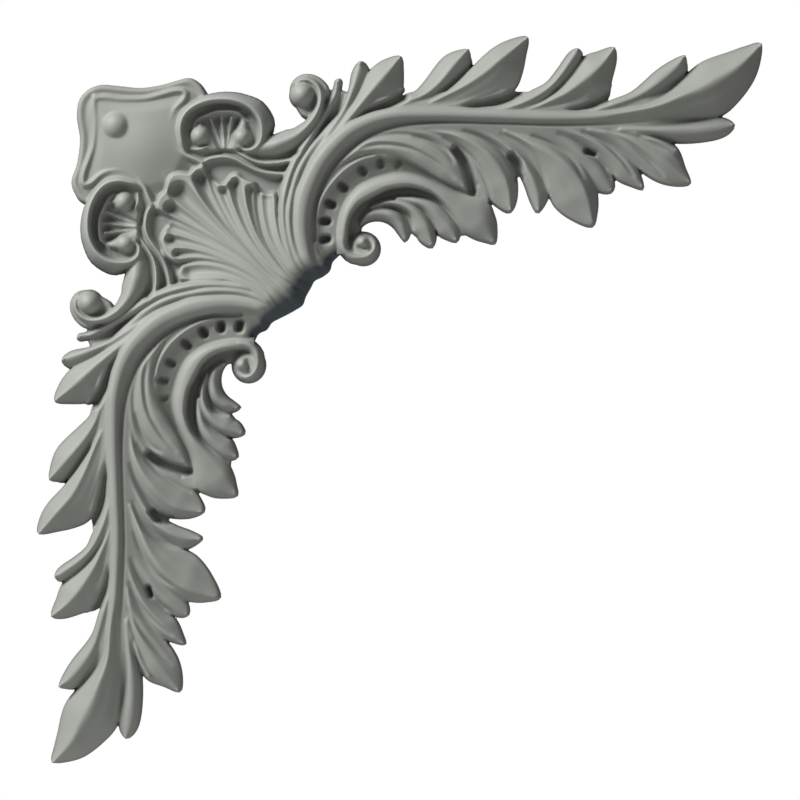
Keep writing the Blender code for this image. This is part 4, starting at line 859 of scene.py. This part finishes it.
STRAY_REACH = 38.0  # how far each of them carries, in drawing units
STRAY_REST = 0.15  # weight of the undisturbed drawing


def stray(points):
    """How far the lower arm strays at the points, as a weighted mean of the strays near them."""
    gap = points[:, None, :] - STRAYS[:, :2]
    weight = np.exp(-(gap**2).sum(-1) / STRAY_REACH**2)
    return (weight @ STRAYS[:, 2:]) / (weight.sum(-1, keepdims=True) + STRAY_REST)


def heights(points):
    """The height of the whole ornament: both arms, the shell, the plate and the inner leaf."""
    flipped = points[:, ::-1]
    source = flipped - stray(flipped - stray(flipped))
    whole = Relief(points)
    corner_plate(whole)
    every = np.arange(len(points))
    for place in (points, source):
        whole.join(every, arm(place))
    shell(whole)
    roll_over(whole)
    for place in (points, source):
        leaf = Relief(place)
        inner_acanthus(leaf)
        whole.join(every, leaf.height)
    return whole.height


def tiled(pitch):
    """The plan positions of an even field that covers the ornament, and the height there."""
    axis = np.arange(0, FIELD_UNITS, pitch / UNIT)
    plan = np.stack(np.meshgrid(CORNER[0] + axis, CORNER[1] + axis), axis=-1)
    height = np.full(plan.shape[:2], LOW)
    parts = [slice(part[0], part[-1] + 1) for part in np.array_split(np.arange(len(axis)), TILES)]
    for rows in parts:
        for columns in parts:
            tile = plan[rows, columns]
            height[rows, columns] = heights(tile.reshape(-1, 2)).reshape(tile.shape[:2])
    return plan, np.maximum(height, LOW)


# The fine surface
OUTLINE_REACH = 0.2  # how much further than SOFTEN the outline is felt, in steps of the pitch
WHOLE = 0.999  # the share of casting round a point from which it is softened
LEAST_SHARE = 1e-3
SLOPE_TOP = 0.1  # height above which the slope at the outline isn't read
SLOPE_REACH = 1.2
SHADE_UNDER_FULL = 2.7  # where the painted shade under the inner corner is full, and how fast it falls
SHADE_UNDER_FALL = 4
SHADE_UNDER_ENDS = 0.41  # share of the line from its middle to where the painted shade has gone
SHADE_UNDER_FADE = 0.06
SHADE_LOW_FULL = 3.3  # the same for the height, in which the painted shade keeps to the low part
SHADE_LOW_FALL = 0.3
SHARP_ANGLE = 75  # degrees between two faces beyond which their edge is sharp


def blurred(grid, reach):
    """The grid under a bell curve of the given reach, in points, first down and then across."""
    steps = np.arange(-int(3 * reach) - 1, int(3 * reach) + 2)
    bell = np.exp(-0.5 * (steps / reach) ** 2)
    bell /= bell.sum()
    for axis in (0, 1):
        grid = sum(weight * np.roll(grid, int(step), axis) for weight, step in zip(bell, steps))
    return grid


def softened(height):
    """The height under a bell curve of reach SOFTEN, and as it was within reach of the outline."""
    solid = blurred((height > 0).astype(float), SOFTEN + OUTLINE_REACH) > WHOLE
    return np.where(solid, blurred(height, SOFTEN), height)


def lifted(height):
    """How far a point stands above the broad form: its height less the mean round it over BROAD
    points, a mean that leaves out what is not casting."""
    share = np.maximum(blurred((height > 0).astype(float), BROAD), LEAST_SHARE)
    return np.where(height > 0, height - blurred(np.maximum(height, 0), BROAD) / share, 0)


def drawn_in(plan, height):
    """The plan, with each point that lies behind the back plane moved to the outline.

    Outside the outline the height falls by WALL a unit, so a point that lies h behind the back plane
    moves by h / WALL up the slope."""
    slope = np.stack(np.gradient(blurred(np.clip(height, LOW, SLOPE_TOP), SLOPE_REACH))[::-1], axis=-1)
    slope /= np.maximum(np.linalg.norm(slope, axis=-1, keepdims=True), 1e-9)
    return plan + slope * (np.clip(-height, 0, None) / WALL)[..., None]


def corners(grid):
    """What the grid says at the four corners of each of its squares, in order round the square."""
    return grid[:-1, :-1], grid[1:, :-1], grid[1:, 1:], grid[:-1, 1:]


def covered(height):
    """The squares that reach over the outline, with no two of them meeting at a corner only."""
    used = np.any(corners(height > 0), axis=0)
    a, b, c, d = corners(used)
    for one, two in ((a & c, b | d), (b & d, a | c)):
        pinched = one & ~two
        for down in (0, 1):
            for across in (0, 1):
                used[down:down + len(pinched), across:across + len(pinched)] |= pinched
    return used


def painted_shade_at_corner(place):
    """How much painted shade each plan position gets in the inner corner, where the casting turns under.

    It is SHADE_UNDER_FULL - SHADE_UNDER_FALL * (distance to the line / ROLL), kept from 0 to 1, and fades out
    towards both ends of the line."""
    line = through(ROLL_LINE, 2.0)
    at = Relief(place).near(line, max(ROLL))
    distance, share, _ = nearest(place[at], line)
    painted_corner_shade = np.zeros(len(place))
    ends = np.clip((SHADE_UNDER_ENDS - np.abs(share - 0.5)) / SHADE_UNDER_FADE, 0, 1)
    painted_corner_shade[at] = np.clip(SHADE_UNDER_FULL - SHADE_UNDER_FALL * distance / along(ROLL, share), 0, 1) * ends
    return painted_corner_shade


def keep(mesh, name, values):
    """Keeps a value for each point of the mesh under the name."""
    mesh.attributes.new(name, "FLOAT", "POINT").data.foreach_set("value", values.astype(np.float32))


def thinned(mesh):
    """The mesh as an object of about TRIANGLES triangles."""
    piece = bpy.data.objects.new("casting", mesh)
    bpy.context.scene.collection.objects.link(piece)
    thin = piece.modifiers.new("thin", "DECIMATE")
    thin.ratio = TRIANGLES / (2 * len(mesh.polygons))
    fine = bpy.data.meshes.new_from_object(piece.evaluated_get(bpy.context.evaluated_depsgraph_get()))
    piece.modifiers.clear()
    piece.data = fine
    fine.set_sharp_from_angle(angle=math.radians(SHARP_ANGLE))
    return piece


def casting():
    """The casting: a fine surface over the field, drawn in to the outline at the back, and a flat back.

    Each point of the field gives one on the front, height * PROJECTION before the back plane, and one
    on the back plane, and the two are one along the edge."""
    plan, height = tiled(PITCH)
    height = softened(height)
    lift = lifted(height)
    plan = drawn_in(plan, height)
    used = covered(height)
    edge = ~np.all(corners(np.pad(used, 1)), axis=0)
    level = np.where(edge, 0, np.maximum(height, THIN)).ravel()
    number = np.arange(height.size).reshape(height.shape)
    quads = np.stack(corners(number), axis=-1)[used]
    behind = np.where(edge, number, number + height.size).ravel()
    quads = np.vstack([quads, behind[quads[:, ::-1]]])
    names, inverse = np.unique(quads, return_inverse=True)
    front = names < height.size
    names = names % height.size
    place = plan.reshape(-1, 2)[names]
    depth = np.where(front, -level[names] * PROJECTION, 0)
    points = np.column_stack([(place[:, 0] - ORIGIN[0]) * UNIT, depth, (ORIGIN[1] - place[:, 1]) * UNIT])
    mesh = bpy.data.meshes.new("casting")
    mesh.from_pydata(points.tolist(), [], inverse.reshape(quads.shape).tolist())
    # Painted shade under the inner corner, kept to the low part of the casting
    sunk = np.where(front, np.clip(SHADE_LOW_FULL - level[names] / SHADE_LOW_FALL, 0, 1), 0)
    keep(mesh, "lift", np.where(front, lift.ravel()[names], 0))
    keep(mesh, "painted_corner_shade", painted_shade_at_corner(place) * sunk)
    mesh.shade_smooth()
    return thinned(mesh)


class Shading:
    """The nodes of one shader tree, made and joined a step at a time."""

    def __init__(self, tree):
        self.nodes, self.links = tree.nodes, tree.links

    def add(self, kind, **values):
        """A new node; a value named like a socket, with _ for a space, is set or linked there."""
        node = self.nodes.new(kind)
        for name, value in values.items():
            socket = node.inputs[name.replace("_", " ")]
            if isinstance(value, bpy.types.NodeSocket):
                self.links.new(value, socket)
            else:
                socket.default_value = value
        return node

    def noise(self, place, scale, detail):
        """A soft random pattern over the object."""
        return self.add("ShaderNodeTexNoise", Vector=place, Scale=scale, Detail=detail).outputs["Fac"]

    def span(self, value, low=0.0, high=1.0, bottom=0.0, top=1.0):
        """A value read from the span low to high on to the span bottom to top."""
        spans = {"From_Min": low, "From_Max": high, "To_Min": bottom, "To_Max": top}
        return self.add("ShaderNodeMapRange", Value=value, **spans).outputs["Result"]

    def mix(self, factor, under, over):
        """One colour laid over another by the factor."""
        made = self.nodes.new("ShaderNodeMix")
        made.data_type = "RGBA"
        made.inputs["B"].default_value = (*over, 1)
        self.links.new(factor, made.inputs["Factor"])
        if isinstance(under, tuple):
            made.inputs["A"].default_value = (*under, 1)
        else:
            self.links.new(under, made.inputs["A"])
        return made.outputs["Result"]

    def kept(self, name):
        """The value that the mesh keeps under the name."""
        made = self.nodes.new("ShaderNodeAttribute")
        made.attribute_name = name
        return made.outputs["Fac"]


# The primer's colours: the mottle, painted shade in the hollows, rubbed ridges, painted shade under the
# corner
PRIMER_LIGHT = (0.312, 0.322, 0.296)
PRIMER_DARK = (0.275, 0.285, 0.260)
PAINTED_SHADE_IN_HOLLOWS = (0.140, 0.148, 0.138)
PRIMER_RUBBED = (0.385, 0.395, 0.366)
PAINTED_SHADE_UNDER_CORNER = (0.062, 0.082, 0.095)
HOLLOW_SHADE_SPAN = (-0.02, -0.2)  # lift from where the painted shade starts in the hollows to where it is darkest
RUBBED_SPAN = (0.03, 0.1)  # lift from where it starts to be rubbed to where it is most so
RUBBED_MOST = 0.5
SHADE_BACK_SPAN = (-0.0001, -0.0006)  # place before the back plane over which the painted shade under the corner starts
SHEEN_SPAN = (0.5, 0.66)  # roughness over the mottle
MOTTLE_SCALE = 30.0
GRAIN_SCALE = 1400.0
GRAIN = 0.00004  # depth of the primer's grain, in metres
GRAIN_STRENGTH = 0.6
SPECULAR = 0.42


def primer_group():
    """The primer: mottle, sheen, grain, rubbed ridges, and painted shade in the hollows and the inner corner.
    """
    tree = bpy.data.node_groups.new("primer_coat", "ShaderNodeTree")
    for name, kind in (("Color", "Color"), ("Roughness", "Float"), ("Grain", "Float")):
        tree.interface.new_socket(name, in_out="OUTPUT", socket_type="NodeSocket" + kind)
    coat = Shading(tree)
    place = coat.add("ShaderNodeTexCoord").outputs["Object"]
    lift = coat.kept("lift")
    mottle = coat.noise(place, MOTTLE_SCALE, 4.0)
    color = coat.mix(mottle, PRIMER_DARK, PRIMER_LIGHT)
    # Painted shade: the hollows are darkened, the deeper the darker
    color = coat.mix(coat.span(lift, *HOLLOW_SHADE_SPAN), color, PAINTED_SHADE_IN_HOLLOWS)
    color = coat.mix(coat.span(lift, *RUBBED_SPAN, 0.0, RUBBED_MOST), color, PRIMER_RUBBED)
    # Painted shade, dark and bluish, on the faces that turn under at the inner corner
    before_back = coat.add("ShaderNodeSeparateXYZ", Vector=place).outputs["Y"]
    under = coat.span(before_back, *SHADE_BACK_SPAN, 0.0, coat.kept("painted_corner_shade"))
    color = coat.mix(under, color, PAINTED_SHADE_UNDER_CORNER)
    sheen = coat.span(mottle, 0.0, 1.0, *SHEEN_SPAN)
    coat.add("NodeGroupOutput", Color=color, Roughness=sheen, Grain=coat.noise(place, GRAIN_SCALE, 3.0))
    return tree


def primer_material():
    """Matte grey-green primer over the smooth casting."""
    made = bpy.data.materials.new("primed_casting")
    made.use_nodes = True
    look = Shading(made.node_tree)
    coat = look.add("ShaderNodeGroup")
    coat.node_tree = primer_group()
    bump = look.add("ShaderNodeBump", Distance=GRAIN, Strength=GRAIN_STRENGTH, Height=coat.outputs["Grain"])
    shader = look.nodes["Principled BSDF"]
    shader.inputs["Specular IOR Level"].default_value = SPECULAR
    look.links.new(coat.outputs["Color"], shader.inputs["Base Color"])
    look.links.new(coat.outputs["Roughness"], shader.inputs["Roughness"])
    look.links.new(bump.outputs["Normal"], shader.inputs["Normal"])
    return made


# The view: the photograph frames VIEW_UNITS of the drawing, square on, with VIEW_CENTRE in its middle
VIEW_UNITS = 800.0
VIEW_CENTRE = (400.0, 400.0)
VIEW_DISTANCE = 2.0
FAR_CLIP = 20.0
# The lights: name, place from the middle of the view, size, power
LIGHTS = (
    ("key", (-1.5, -1.1, 1.5), 0.9, 78),
    ("fill", (1.2, -1.8, -0.6), 1.2, 3),
)
AMBIENT = 0.17  # strength of the white light from all round
FLOOR_DROP = 0.3  # from the lowest leaf tip down to the floor
FLOOR_SPAN = ((-0.4, -0.6), (0.6, 0.1))  # where it starts and ends
FLOOR_COLOR = (0.8, 0.8, 0.79, 1)
FLOOR_ROUGHNESS = 0.7


def new_object(name, data, place=(0, 0, 0), turn=(0, 0, 0)):
    """A new object in the scene, placed and turned."""
    made = bpy.data.objects.new(name, data)
    made.location = place
    made.rotation_euler = turn
    bpy.context.scene.collection.objects.link(made)
    return made


def view_centre():
    """The point of the back plane in the middle of the view."""
    return Vector(((VIEW_CENTRE[0] - ORIGIN[0]) * UNIT, 0.0, (ORIGIN[1] - VIEW_CENTRE[1]) * UNIT))


def add_camera():
    """A long lens square on to the carving."""
    data = bpy.data.cameras.new("camera")
    data.lens = data.sensor_width * VIEW_DISTANCE / (VIEW_UNITS * UNIT)
    data.clip_end = FAR_CLIP
    place = view_centre() + Vector((0, -VIEW_DISTANCE, 0))
    bpy.context.scene.camera = new_object("camera", data, place, (math.radians(90), 0, 0))


def add_light(name, place, size, power):
    """A round softbox aimed at the middle of the view."""
    data = bpy.data.lights.new(name, "AREA")
    data.shape = "DISK"
    data.size = size
    data.energy = power
    turn = (-Vector(place)).to_track_quat("-Z", "Y").to_euler()
    new_object(name, data, view_centre() + Vector(place), turn)


def add_world():
    """Plain white behind the object, and a weaker white light on it from all round."""
    world = bpy.data.worlds.new("studio")
    world.use_nodes = True
    sky = Shading(world.node_tree)
    seen = sky.add("ShaderNodeLightPath").outputs["Is Camera Ray"]
    ground = sky.nodes["Background"]
    ground.inputs["Color"].default_value = (1, 1, 1, 1)
    sky.links.new(sky.span(seen, 0.0, 1.0, AMBIENT, 1.0), ground.inputs["Strength"])
    bpy.context.scene.world = world


def add_floor(low):
    """A pale floor under the hanging piece."""
    (left, front), (right, back) = FLOOR_SPAN
    level = low - FLOOR_DROP
    mesh = bpy.data.meshes.new("floor")
    rim = [(left, front, level), (right, front, level), (right, back, level), (left, back, level)]
    mesh.from_pydata(rim, [], [(0, 1, 2, 3)])
    paint = bpy.data.materials.new("pale_floor")
    paint.use_nodes = True
    shader = paint.node_tree.nodes["Principled BSDF"]
    shader.inputs["Base Color"].default_value = FLOOR_COLOR
    shader.inputs["Roughness"].default_value = FLOOR_ROUGHNESS
    mesh.materials.append(paint)
    floor = new_object("floor", mesh)


def main():
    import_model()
    solid_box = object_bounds()
    piece = casting()
    piece.data.materials.clear()
    piece.data.materials.append(primer_material())
    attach(piece, "root")
    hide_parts("moulding_corner")
    add_camera()
    for light in LIGHTS:
        add_light(*light)
    add_world()
    add_floor(min(corner[2] for corner in solid_box))
    bpy.context.scene.view_settings.view_transform = "Standard"


main()
